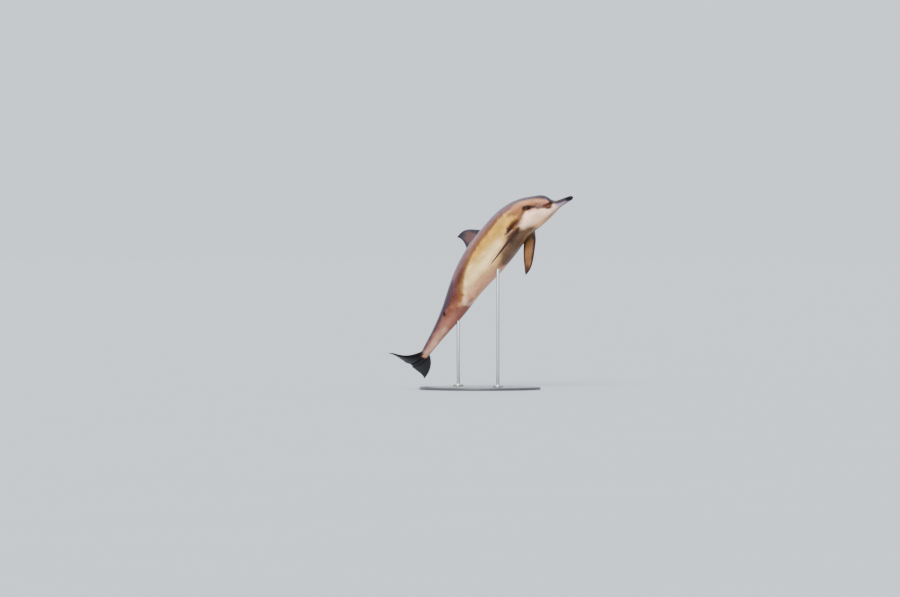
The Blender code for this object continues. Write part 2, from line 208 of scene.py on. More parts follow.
class BodyForm:
    """The straight body's sections and its small rises and hollows."""

    STATIONS = (
        Station(0.0, 0.15, 0.20, 0.30),  # tip of the beak
        Station(0.5, 0.60, 0.62, 0.75),
        Station(2.5, 0.80, 1.00, 1.15),  # middle of the beak
        Station(7.2, 1.05, 1.85, 1.85),
        Station(9.3, 2.00, 2.40, 2.80),  # foot of the melon
        Station(12.0, 4.30, 3.35, 4.10),  # melon
        Station(16.0, 5.60, 4.60, 5.15),  # eye
        Station(21.0, 6.40, 5.70, 6.00),  # nape
        Station(28.0, 6.90, 6.70, 6.70),  # flippers
        Station(36.0, 7.40, 7.50, 7.05),  # chest
        Station(45.0, 7.65, 7.60, 7.10),  # front of the dorsal fin
        Station(55.0, 7.10, 7.05, 6.30),  # rear of the dorsal fin
        Station(65.0, 5.90, 5.80, 5.00),
        Station(75.0, 4.40, 4.65, 3.35),  # tail stock
        Station(84.0, 3.10, 3.20, 2.05),
        Station(91.0, 2.10, 2.10, 1.35),  # front of the flukes
        Station(95.0, 1.15, 1.15, 1.05),
        Station(98.0, 0.50, 0.50, 0.75),
        Station(100.0, 0.15, 0.15, 0.40),  # notch of the flukes
    )
    SWELLS = (
        Swell("brow", 15.8, 60, 2.4, 1.1, 1.8),
        Swell("orbit", 16.8, 78, 2.2, 1.5, 1.5),
        Swell("cheek", 12.6, 118, 2.4, 1.4, 2.0),
        Swell("hollow behind the eye", 20.6, 84, 1.3, 1.3, -1.2),
        Swell("ear", 19.3, 86, 0.16, 0.16, -1.2),
        Swell("nape hollow", 17.6, 0, 1.2, 1.2, -2.5),
        Swell("breast", 29.0, 180, 4.0, 3.0, 2.5),
        Swell("navel", 46.5, 180, 0.35, 0.3, -1.6),
        Swell("shoulder", 26.0, 112, 3.0, 1.4, 2.0),
    )
    CREASE_SWEEP = 2.3  # how much further back the melon's foot is at the sides than on top
    CREASE_GROWS = (6.2, 9.4)
    CREASE_FADES = (15.5, 11.0)
    CREASE_ENDS = (-0.05, 0.30)  # how far below the sides the crease runs out
    PINCH = 0.45  # how far the tail stock's upper and lower edges narrow to ridges
    PINCH_ALONG = ((70, 84, 92, 98), (0, 1, 1, 0.3))
    HALF_FADE = 0.69  # so that a swell is half as high at its stated length and breadth

    def section(self, x: ndarray) -> tuple[ndarray, ndarray, ndarray]:
        """The body's size at x.

        Args:
            x: Body x of each place.

        Returns:
            The heights of the back and of the belly, and the half width.
        """
        places = [station.x for station in self.STATIONS]
        back, belly, half = (
            monotone(places, [getattr(station, name) for station in self.STATIONS], x)
            for name in ("back", "belly", "half_width")
        )
        return back, belly, half

    def girth(self, x: ndarray) -> ndarray:
        """The mean radius of the body at x."""
        back, belly, half = self.section(x)
        return (back + belly + 2 * half) / 4

    def point(self, x: ndarray, angle: ndarray, out: ndarray | float = 0.0) -> ndarray:
        """Body coordinates on the skin.

        Args:
            x: Body x of each point.
            angle: Its angle around the body, in radians.
            out: How far out of the skin it is, in percent.

        Returns:
            One row for each point.
        """
        x = np.asarray(x, dtype=float)
        rise = np.cos(angle)
        swept = self.CREASE_SWEEP * np.sin(angle) ** 2
        swept = swept * ramp(x, *self.CREASE_GROWS) * ramp(x, *self.CREASE_FADES)
        back, _, half = self.section(x - swept)
        _, belly_here, half_here = self.section(x)
        low = ramp(-rise, *self.CREASE_ENDS)
        half = half * (1 - low) + half_here * low
        height = np.where(rise > 0, back, belly_here) + out
        pinch = self.PINCH * np.interp(x, *self.PINCH_ALONG)
        across = (half + out) * np.sin(angle) * (1 - pinch * rise * rise)
        return np.stack([x, across, height * rise], 1)

    def swelling(self, x: ndarray, angle: ndarray) -> ndarray:
        """How far the rises and hollows lift the skin.

        Args:
            x: Body x of each place.
            angle: Its angle around the body, from 0 to pi.

        Returns:
            The lifts in percent.
        """
        girth = self.girth(x)
        height = np.zeros(len(x))
        for swell in self.SWELLS:
            dx = (x - swell.x) / swell.length
            dv = (angle - math.radians(swell.angle)) * girth / swell.breadth
            height += swell.height * MM * np.exp(-self.HALF_FADE * (dx * dx + dv * dv))
        return height

    def frame_at(self, x: float, angle: float) -> tuple[ndarray, ndarray, ndarray, ndarray]:
        """The skin's own directions at one place.

        Args:
            x: Its body x.
            angle: Its angle around the body.

        Returns:
            The point, and the ways forward, towards the back and outward from it.
        """
        step, turn = 0.05, 0.01
        around = np.array([angle, angle, angle, angle - turn, angle + turn])
        at = self.point(np.array([x, x - step, x + step, x, x]), around)
        forward = unit(at[1] - at[2])
        upward = unit(at[3] - at[4])
        outward = unit(np.cross(forward, upward))
        if np.dot(outward[1:], at[0][1:]) < 0:
            outward = -outward
        return at[0], forward, unit(upward), outward


# --- fins ------------------------------------------------------------------------------------
NOSE = 0.014  # share of the chord that the rounded leading edge takes
ROUNDED_TIP = 0.12  # share of the span over which the thickness runs out
THIN_EDGE = 0.35 * MM  # least half thickness
SHORT_OF_TIP = 0.9985  # share of the span at which the last loop closes the fin
THINNING = 0.8  # below 1, a fin thins faster near its root
CROWDING = 1.25  # above 1, a fin's points crowd towards its leading edge
LEAVE_PULL = 1.3  # how long a fillet follows the skin
ARRIVE_PULL = 1.1  # how long it follows the fin


@dataclass(frozen=True)
class Blade:
    """A fin between a leading and a trailing edge, each a cubic curve from root to tip.

    The curves' points are (along the body, outward) in percent of the total length.
    """

    leading: tuple
    trailing: tuple
    root_thickness: float
    tip_thickness: float

    def edges(self, span: float) -> tuple[float, float, float]:
        """One wing section.

        Args:
            span: How far out it is.

        Returns:
            Its leading edge, its trailing edge and its thickness.
        """
        t = np.linspace(0, 1, 240)
        weights = ((1 - t) ** 3, 3 * (1 - t) ** 2 * t, 3 * (1 - t) * t * t, t**3)
        found = []
        for curve in (self.leading, self.trailing):
            along, out = (sum(w * p[axis] for w, p in zip(weights, curve)) for axis in (0, 1))
            found.append(float(np.interp(span, out, along)))
            share = float(np.interp(span, out, t))
        thick = self.root_thickness + (self.tip_thickness - self.root_thickness) * share**THINNING
        past = max(share - 1 + ROUNDED_TIP, 0.0) / ROUNDED_TIP
        return found[0], found[1], thick * math.sqrt(max(1 - past**2, 0.0))

    @property
    def reach(self) -> float:
        """How far out the tip is."""
        return self.leading[-1][1]


@dataclass(frozen=True)
class Limb:
    """One fin on the body: its blade, the patch of skin that it grows from, and its pose."""

    name: str
    number: int
    blade: Blade
    rings: tuple[float, float]  # body x of the patch's front and rear
    sides: tuple[int, int]
    first: float  # distance out of the first loop that is clear of the body
    fillet: tuple[float, ...]  # loops between the patch's rim and that one, as shares
    spans: int  # loops from there to the tip
    place: Callable[[ndarray, ndarray, ndarray], ndarray]
    axis: tuple[float, float, float]  # the way it grows, in body coordinates
    anchor: float | None = None  # body x whose directions it follows


DORSAL_BLADE = Blade(
    leading=((41.5, 7.4), (47.5, 12.3), (51.0, 16.0), (56.2, 16.6)),
    trailing=((55.2, 6.9), (53.6, 11.3), (54.3, 14.0), (56.2, 16.6)),
    root_thickness=2.3,
    tip_thickness=0.35,
)
FLUKE_BLADE = Blade(
    leading=((90.6, 0.008), (94.0, 4.6), (98.0, 9.6), (101.5, 12.2)),
    trailing=((99.4, 0.008), (100.9, 2.4), (99.0, 8.8), (101.5, 12.2)),
    root_thickness=2.0,
    tip_thickness=0.3,
)
FLIPPER_BLADE = Blade(
    leading=((2.3, -1.5), (0.9, 5.0), (3.2, 11.6), (-0.4, 15.1)),
    trailing=((-2.1, -1.5), (-3.3, 4.0), (-1.9, 10.1), (-0.4, 15.1)),
    root_thickness=1.9,
    tip_thickness=0.3,
)
FLIPPER_ROOT = (25.9, 4.7, -4.7)  # body coordinates of the right one's
# Directions of each flipper as (back, out, down): along the blade, then to its leading edge.
FLIPPER_POSE = {
    Hand.RIGHT: ((0.34, 0.76, 0.55), (-0.91, 0.42, -0.03)),
    Hand.LEFT: ((0.55, -0.10, 0.83), (-0.76, 0.35, 0.55)),
}


def flipper_frame(hand: Hand) -> tuple[ndarray, ndarray, ndarray, ndarray]:
    """A flipper's own directions.

    Args:
        hand: Which flipper.

    Returns:
        Its root, and the ways along the blade, to its leading edge and across it, all in body
        coordinates.
    """
    sign = hand.value
    root = np.array(FLIPPER_ROOT) * (1, sign, 1)
    axis, lead = (np.array([back, sign * out, -down]) for back, out, down in FLIPPER_POSE[hand])
    axis = unit(axis)
    lead = unit(lead - axis * np.dot(axis, lead))
    flat = np.cross(axis, lead)
    round_the_body = np.array([0.0, -1.0, -sign])
    if np.dot(flat, round_the_body) < 0:
        flat = -flat
    return root, axis, lead, flat


def dorsal_fin() -> Limb:
    """The fin on the back.

    Returns:
        The fin.
    """
    return Limb(
        "dorsal fin",
        number=1,
        blade=DORSAL_BLADE,
        rings=(40.8, 56.3),
        sides=(-4, 4),
        first=8.75,
        fillet=(0.3, 0.62),
        spans=13,
        place=lambda along, out, off: np.stack([along, off, out], 1),
        axis=(0.0, 0.0, 1.0),
    )


def fluke(hand: Hand) -> Limb:
    """One of the two flukes.

    Args:
        hand: Which one.

    Returns:
        The fluke.
    """
    sign = hand.value
    return Limb(
        f"fluke {hand.name.lower()}",
        number=2 if hand is Hand.RIGHT else 3,
        blade=FLUKE_BLADE,
        rings=(90.2, 99.0),
        sides=(17, 31) if hand is Hand.RIGHT else (65, 79),
        first=2.1,
        fillet=(0.33, 0.66),
        spans=14,
        place=lambda along, out, off: np.stack([along, sign * out, -sign * off], 1),
        axis=(0.0, float(sign), 0.0),
    )


def flipper(hand: Hand) -> Limb:
    """One of the two flippers, which keeps its shape while the body bends.

    Args:
        hand: Which one.

    Returns:
        The flipper.
    """
    root, axis, lead, flat = flipper_frame(hand)
    return Limb(
        f"flipper {hand.name.lower()}",
        number=4 if hand is Hand.RIGHT else 5,
        blade=FLIPPER_BLADE,
        rings=(23.1, 29.1),
        sides=(32, 40) if hand is Hand.RIGHT else (56, 64),
        first=1.7 if hand is Hand.RIGHT else 3.3,
        fillet=(0.2, 0.4, 0.6, 0.8),
        spans=13,
        place=lambda along, out, off: (
            root + np.outer(along, lead) + np.outer(out, axis) + np.outer(off, flat)
        ),
        axis=tuple(axis),
        anchor=FLIPPER_ROOT[0],
    )


def limbs() -> list[Limb]:
    """The dorsal fin, the two flukes and the two flippers."""
    return [dorsal_fin()] + [grown(hand) for hand in Hand for grown in (fluke, flipper)]


def wing_half(t: ndarray) -> ndarray:
    """Half of a wing section's thickness at t along its chord, as a share of the greatest."""
    return 2.969 * np.sqrt(t) - 1.26 * t - 3.516 * t**2 + 2.843 * t**3 - 1.036 * t**4


# --- small tools over the modelling operators ------------------------------------------------
def select_only(obj: Object) -> None:
    """Select one object and make it active.

    Args:
        obj: The object.
    """
    bpy.ops.object.select_all(action="DESELECT")
    obj.select_set(True)
    bpy.context.view_layer.objects.active = obj


def vertices_of(mesh: Mesh) -> ndarray:
    """The places of a mesh's points.

    Args:
        mesh: The mesh.

    Returns:
        One row for each point.
    """
    flat = np.empty(len(mesh.vertices) * 3)
    mesh.vertices.foreach_get("co", flat)
    return flat.reshape(-1, 3)


def move_vertices(mesh: Mesh, points: ndarray) -> None:
    """Put the mesh's points at the given places."""
    mesh.vertices.foreach_set("co", np.ascontiguousarray(points, dtype=float).ravel())
    mesh.update()


def read_attribute(mesh: Mesh, name: str) -> ndarray:
    """A number kept on each vertex.

    Args:
        mesh: The mesh.
        name: The attribute.

    Returns:
        The numbers, whole ones if the attribute holds such.
    """
    layer = mesh.attributes[name]
    values = np.empty(len(layer.data), dtype=np.int32 if layer.data_type == "INT" else float)
    layer.data.foreach_get("value", values)
    return values


def write_attribute(mesh: Mesh, name: str, values: ndarray) -> None:
    """Keep a number, or a vector, on each vertex.

    Args:
        mesh: The mesh.
        name: The attribute, which is made if it isn't there.
        values: One number, or one row of three, for each vertex.
    """
    whole, rows = values.dtype.kind == "i", values.ndim == 2
    kind = "INT" if whole else ("FLOAT_VECTOR" if rows else "FLOAT")
    layer = mesh.attributes.get(name) or mesh.attributes.new(name, kind, "POINT")
    flat = np.ascontiguousarray(values, dtype=np.int32 if whole else np.float32).ravel()
    layer.data.foreach_set("vector" if rows else "value", flat)


@dataclass(frozen=True)
class Patch:
    """A block of the plain body's faces, which is extruded loop by loop into a fin or an opening."""

    obj: Object
    front: int  # its first ring
    rings: int  # how many rings on its last one is
    side: int  # its first side
    sides: int  # how many sides on its last one is

    @classmethod
    def around(cls, obj: Object, place: ndarray, rings: int, sides: int) -> "Patch":
        """The patch with one place in its middle.

        Args:
            obj: The skin, in body coordinates.
            place: The place.
            rings: The number of rings across the patch.
            sides: The number of sides across it.

        Returns:
            The patch.
        """
        mesh = obj.data
        on_a_fin = read_attribute(mesh, "limb") > 0
        away = np.linalg.norm(vertices_of(mesh) - place, axis=1) + np.where(on_a_fin, np.inf, 0)
        ring, side = (int(read_attribute(mesh, name)[np.argmin(away)]) for name in ("ring", "side"))
        return cls(obj, ring - rings // 2, rings, (side - sides // 2) % SIDES, sides)

    def select(self) -> None:
        """Select just these faces, ready for edit mode."""
        mesh = self.obj.data
        ring = read_attribute(mesh, "ring") - self.front
        side = (read_attribute(mesh, "side") - self.side) % SIDES
        plain = read_attribute(mesh, "limb") == 0
        there = (ring >= 0) & (ring <= self.rings) & (side <= self.sides) & plain
        wanted = np.array([all(there[v] for v in face.vertices) for face in mesh.polygons])
        bpy.context.tool_settings.mesh_select_mode = (False, False, True)
        mesh.vertices.foreach_set("select", np.zeros(len(mesh.vertices), dtype=bool))
        mesh.edges.foreach_set("select", np.zeros(len(mesh.edges), dtype=bool))
        mesh.polygons.foreach_set("select", wanted)
        mesh.update()

    def extrude(self) -> tuple[ndarray, ndarray, ndarray]:
        """Extrude the selected faces in place.

        Returns:
            The numbers of the points that moved out, and how far each is along the patch, from -1
            in front to 1, and around it, from -1 at the first side to 1.
        """
        bpy.ops.object.mode_set(mode="EDIT")
        bpy.ops.mesh.extrude_region_move()
        bpy.ops.object.mode_set(mode="OBJECT")
        mesh = self.obj.data
        chosen = np.empty(len(mesh.vertices), dtype=bool)
        mesh.vertices.foreach_get("select", chosen)
        moved = np.nonzero(chosen)[0]
        ring = read_attribute(mesh, "ring")[moved] - self.front
        side = (read_attribute(mesh, "side")[moved] - self.side) % SIDES
        return moved, 2 * ring / self.rings - 1, 2 * side / self.sides - 1


def put(mesh: Mesh, chosen: ndarray, points: ndarray, values: dict[str, object]) -> None:
    """Put some of the mesh's points at new places.

    Args:
        mesh: The mesh.
        chosen: The points' numbers.
        points: Their places.
        values: What each attribute named here is to say of those points.
    """
    everything = vertices_of(mesh)
    everything[chosen] = points
    move_vertices(mesh, everything)
    for name, new in values.items():
        kept = read_attribute(mesh, name)
        kept[chosen] = new
        write_attribute(mesh, name, kept)


def finish_piece(obj: Object, finish: Material, slot: str, *nodes: str) -> None:
    """Give a piece its finish, and let it stand for its solids on the one body.

    Args:
        obj: The piece.
        finish: Its material.
        slot: Not used.
        nodes: The solids that it stands for.
    """
    obj.data.materials.clear()
    obj.data.materials.append(finish)
    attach(obj, "root")
    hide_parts(*nodes)


def apply_modifiers(obj: Object) -> None:
    """Apply all of an object's modifiers, and its place, turn and scale.

    Args:
        obj: The object.
    """
    select_only(obj)
    for modifier in list(obj.modifiers):
        bpy.ops.object.modifier_apply(modifier=modifier.name)
    bpy.ops.object.transform_apply(location=True, rotation=True, scale=True)


# --- finishes --------------------------------------------------------------------------------
def to_linear(color: str) -> tuple[float, float, float, float]:
    """A linear colour from an sRGB hex value.

    Args:
        color: A value such as "#A0B0C0".

    Returns:
        The colour with full cover.
    """
    parts = [int(color[i : i + 2], 16) / 255 for i in (1, 3, 5)]
    linear = [((c + 0.055) / 1.055) ** 2.4 if c > 0.04045 else c / 12.92 for c in parts]
    return linear[0], linear[1], linear[2], 1.0


def add_node(
    tree: NodeTree, kind: str, output: str | int, inputs: dict | None = None, **settings: object
) -> NodeSocket:
    """Add a node.

    Args:
        tree: Where to add it.
        kind: Its type, without the first word that all types share.
        output: The name or number of the output that is wanted.
        inputs: For each input, by name or number, a value or the output that feeds it.
        settings: The node's own settings.

    Returns:
        The output.
    """
    made = tree.nodes.new("ShaderNode" + kind)
    for name, value in settings.items():
        setattr(made, name, value)
    for key, value in (inputs or {}).items():
        if isinstance(value, NodeSocket):
            tree.links.new(value, made.inputs[key])
        else:
            made.inputs[key].default_value = value
    return made.outputs[output]


def new_material(name: str, uniform: dict[str, object]) -> tuple[Material, NodeTree, Node]:
    """Start a material.

    Args:
        name: Its name.
        uniform: The surface shader's values that are the same all over.

    Returns:
        The material, its nodes and its surface shader.
    """
    made = bpy.data.materials.new(name)
    made.use_nodes = True
    shader = made.node_tree.nodes["Principled BSDF"]
    for key, value in uniform.items():
        shader.inputs[key].default_value = value
    return made, made.node_tree, shader


OFF_THE_COAT = 9.0  # as far outside a coat as is ever told, in percent


@dataclass(frozen=True)
class Coat:
    """One coat of the pattern: a marking, or a painted shade, shadow, highlight or reflection."""

    name: str
    color: str
    line: tuple[tuple[float, ...], ...]
    soft: float  # how far its edge fades, in percent
    wobble: float  # how far its edge wanders
    strength: float = 1.0
    right_only: bool = False  # or else it is on both sides


@dataclass(frozen=True)
class Stroke(Coat):
    """A band of colour along a line of (x, angle from the back in degrees, half width) points."""

    def inside(self, x: ndarray, angle: ndarray, girth: ndarray) -> ndarray:
        """How far inside the band each place is.

        Args:
            x: Body x of each place.
            angle: Its angle around the body.
            girth: The body's mean radius there.

        Returns:
            The distances in percent, below zero outside the band.
        """
        best = np.full(len(x), -OFF_THE_COAT)
        for (x0, a0, w0), (x1, a1, w1) in zip(self.line, self.line[1:]):
            dx, da = x1 - x0, math.radians(a1 - a0)
            from_x, from_angle = x - x0, angle - math.radians(a0)
            along = from_x * dx + from_angle * da * girth**2
            t = np.clip(along / np.maximum(dx * dx + da * da * girth**2, 1e-6), 0, 1)
            off = np.hypot(from_x - dx * t, (from_angle - da * t) * girth)
            best = np.maximum(best, w0 + (w1 - w0) * t - off)
        return best


@dataclass(frozen=True)
class Border(Coat):
    """A field of colour on one side of a line of (x, angle from the back in degrees) points."""

    above: bool = False  # whether the field is on the back's side of the line

    def inside(self, x: ndarray, angle: ndarray, girth: ndarray) -> ndarray:
        """How far inside the field each place is.

        Args:
            x: Body x of each place.
            angle: Its angle around the body.
            girth: The body's mean radius there.

        Returns:
            The distances in percent, below zero outside the field.
        """
        places, limits = zip(*self.line)
        gap = (angle - np.radians(monotone(places, limits, x))) * girth
        return -gap if self.above else gap


# The pattern, from the lowest coat to the last; besides the markings, some coats are painted shade,
# shadow, highlight or sky reflection.
PATTERN: tuple[Stroke | Border, ...] = (
    Stroke(
        "tan flank", "#B88830",
        ((23, 92, 1.6), (30, 86, 2.6), (38, 90, 3.0), (46, 102, 2.4)),
        soft=2.2, wobble=1.2, strength=0.9,
    ),
    Stroke(
        "cream flank", "#FFDC9C",
        ((34, 122, 1.4), (44, 128, 2.2), (54, 134, 2.4), (63, 142, 2.0)),
        soft=2.0, wobble=1.2, strength=0.85,
    ),
    Stroke(
        "straw flank", "#DDAE58",
        ((42, 115, 0.6), (48, 117, 0.9), (56, 121, 0.8)),
        soft=1.4, wobble=1.0, strength=0.55,
    ),
    Border(
        "pink belly", "#DA9A76",
        ((20, 172), (38, 164), (46, 154), (60, 152), (68, 158), (100, 160)),
        soft=2.2, wobble=1.4,
    ),
    # brown of the breast, deepened by painted shade on the underside of the chest below the flippers
    Stroke(
        "brown breast", "#5A4030",
        ((20.0, 160, 2.0), (23.6, 150, 3.0), (27, 152, 3.4), (35, 160, 3.2), (41, 174, 1.8)),
        soft=1.6, wobble=1.0, strength=0.95,
    ),
    Border(
        "tail stock", "#845447",
        ((0, 240), (58, 240), (63, 180), (67, 160), (71, 120), (75, 60), (80, 0), (100, 0)),
        soft=1.8, wobble=1.4,
    ),
    Stroke(
        "tail side", "#684238",
        ((81, 112, 0.7), (85, 110, 0.9), (88.6, 116, 1.1), (91, 106, 0.9)),
        soft=1.2, wobble=1.2, strength=0.75,
    ),
    Stroke(
        "pale tail side", "#A8846E",
        ((80, 160, 0.6), (86, 156, 1.0), (92, 150, 0.9)),
        soft=1.4, wobble=1.0, strength=0.8,
    ),
    Border(
        "cape", "#6C4848",
        (
            (18, 58), (24, 64), (30, 66), (40, 75), (45, 83), (50, 92), (55, 104), (60, 118),
            (64, 140), (67, 146), (71, 118), (76, 92), (84, 78), (92, 74), (100, 70),
        ),
        above=True, soft=0.8, wobble=0.9,
    ),
    Stroke(
        "cape edge", "#714519",
        (
            (27, 63, 0.5), (32, 65, 0.8), (40, 73, 0.8), (46, 83, 0.8), (52, 95, 1.0), (58, 112, 1.4),
            (60.5, 122, 1.7), (63, 132, 1.5), (66, 142, 1.2),
        ),
        soft=0.8, wobble=0.8, strength=0.9,
    ),
    Stroke(
        "warm patch", "#A06448",
        ((36, 46, 0.8), (42, 50, 1.4), (46, 62, 0.8)),
        soft=1.4, wobble=1.0, strength=0.7,
    ),
    Stroke(
        "russet side", "#6E3C28",
        ((64, 128, 1.0), (70, 128, 1.8), (75, 120, 1.4)),
        soft=1.4, wobble=1.2, strength=0.85,
    ),
    Stroke(
        "chestnut patch", "#4A1A14",
        ((54, 93, 0.7), (60, 101, 1.4), (66, 108, 1.5), (72, 106, 0.9)),
        soft=1.2, wobble=1.0, strength=0.72,
    ),
    # dark grey of the upper back, tinted blue-purple as a painted reflection of the sky
    Border(
        "upper back", "#454254",
        ((18, 30), (30, 42), (45, 50), (60, 62), (70, 74), (78, 66), (88, 50), (100, 40)),
        above=True, soft=2.2, wobble=1.4, strength=0.9,
    ),
    Border(
        "ridge of the back", "#22242E",
        (
            (10, 20), (14, 34), (20, 32), (30, 22), (45, 20), (60, 34), (66, 44), (78, 38), (90, 24),
            (100, 16),
        ),
        above=True, soft=1.8, wobble=1.0, strength=0.85,
    ),
    Stroke(
        "tail purple", "#33222E",
        ((63, 80, 1.0), (70, 84, 1.7), (76, 84, 1.6), (84, 76, 1.0), (92, 74, 0.8)),
        soft=1.3, wobble=1.0, strength=0.97,
    ),
    Stroke(
        "tan melon", "#B27C5C",
        ((10.5, 56, 1.4), (15, 56, 2.0), (20, 60, 1.8), (22, 60, 1.0)),
        soft=1.2, wobble=0.8, strength=0.92,
    ),
    Stroke(
        "slate crown", "#332C36",
        ((11.0, 14, 0.9), (14.5, 22, 1.7), (19, 22, 1.6), (22, 18, 0.6)),
        soft=0.8, wobble=0.6, strength=0.95,
    ),
    Stroke(
        "pale throat", "#FFCFAE",
        ((6.4, 126, 1.2), (10, 120, 2.4), (14, 112, 3.2), (18, 118, 3.2), (20.8, 128, 1.8)),
        soft=1.2, wobble=0.8, strength=0.95,
    ),
    Stroke(
        "brown face", "#7C4C30",
        ((9.6, 74, 1.1), (13, 77, 1.5), (17, 76, 1.5), (21, 77, 1.6), (24, 76, 0.8)),
        soft=0.9, wobble=0.8, strength=0.9,
    ),
    Stroke(
        "pale lip", "#9A8AAC",
        ((1.5, 126, 0.6), (4, 124, 0.9), (6.2, 124, 0.9)),
        soft=0.8, wobble=0.4, strength=0.85,
    ),
    # painted shadow along the underside of the jaw and throat
    Stroke(
        "dark chin", "#383246",
        ((0, 180, 0.5), (4, 180, 0.7), (9, 180, 0.9), (13, 180, 0.6)),
        soft=1.0, wobble=0.5, strength=0.6,
    ),
    Stroke(
        "dark beak", "#10111C",
        ((-1, 0, 2.2), (3, 0, 2.35), (6, 0, 2.8), (7.8, 0, 2.9)),
        soft=0.4, wobble=0.25, strength=0.92,
    ),
    Stroke(
        "beak tip", "#0C0D18",
        ((-1, 90, 2.2), (0.8, 90, 1.5)),
        soft=0.9, wobble=0.4,
    ),
    Stroke(
        "beak foot", "#140603",
        ((8.4, 56, 0.5), (8.8, 74, 1.2), (9.2, 88, 1.5), (10.6, 90, 0.8)),
        soft=0.5, wobble=0.4, strength=0.97,
    ),
    Stroke(
        "bridle", "#341408",
        ((9.6, 87, 1.0), (11.6, 84, 0.75), (13.6, 80, 0.6), (16.0, 78, 0.7)),
        soft=0.45, wobble=0.4, strength=0.95,
    ),
    Stroke(
        "lip shade", "#5E3626",
        ((8.4, 97, 0.45), (10.4, 97, 0.4), (12.6, 94, 0.3)),
        soft=0.35, wobble=0.4, strength=0.75,
    ),
    Stroke(
        "rust spots", "#5A200C",
        ((12.2, 67, 0.2), (13.6, 70, 0.3)),
        soft=0.35, wobble=0.6, strength=0.7,
    ),
    Stroke(
        "eye patch", "#120604",
        ((15.8, 77, 0.75), (17.7, 77, 0.95)),
        soft=0.5, wobble=0.45,
    ),
    Stroke(
        "flipper stripe", "#5C3214",
        ((17.6, 84, 0.5), (19.6, 99, 1.0), (21.2, 107, 1.3), (22.8, 111, 1.4), (26, 116, 1.4)),
        soft=0.8, wobble=0.6, strength=0.92,
    ),
    Stroke(
        "flipper stripe core", "#2C130A",
        ((21.5, 108, 0.2), (25, 114, 0.8), (28.8, 120, 0.7)),
        soft=0.6, wobble=0.4, strength=0.92,
    ),
    # painted highlight along the skin above each flipper's root
    Stroke(
        "pale fold", "#F4CDB8",
        ((25.0, 123, 0.05), (27.5, 123, 0.1), (29.3, 121, 0.25)),
        soft=0.3, wobble=0.3, strength=0.6,
    ),
    # painted shadow cast by each flipper on the body just below its root
    Stroke(
        "flipper pit", "#1C0C06",
        ((22.5, 131, 0.6), (26, 134, 1.1), (30, 137, 0.9)),
        soft=0.7, wobble=0.4, strength=0.9,
    ),
    Stroke(
        "pale vent patch", "#F6C6AC",
        ((64.4, 160, 0.5), (66.4, 168, 0.7)),
        soft=0.9, wobble=0.6, strength=0.8,
    ),
    # painted shade inside the pressed-in vent slit
    Stroke(
        "vent slit", "#3C1F18",
        ((66.5, 180, 0.16), (70.5, 180, 0.2)),
        soft=0.2, wobble=0.05, strength=0.9,
    ),
    # painted shade inside the blowhole's pit
    Stroke(
        "blowhole", "#17131A",
        ((16.75, 0, 0.22), (16.75, 9, 0.16)),
        soft=0.3, wobble=0.05, strength=0.9,
    ),
    Stroke(
        "old scar", "#180808",
        ((75.0, 96, 0.5), (75.2, 107, 0.7)),
        soft=0.4, wobble=0.3, strength=0.95, right_only=True,
    ),
    Stroke(
        "pale tail band", "#A88884",
        ((91.2, 90, 0.2), (91.8, 106, 0.4), (91.2, 128, 0.4)),
        soft=0.5, wobble=0.4, strength=0.6,
    ),
    Border(
        "dark tail", "#130D0C",
        ((0, 240), (92.6, 240), (93.4, 150), (94.4, 0), (95.6, -200), (100, -400)),
        soft=0.8, wobble=0.6,
    ),
)


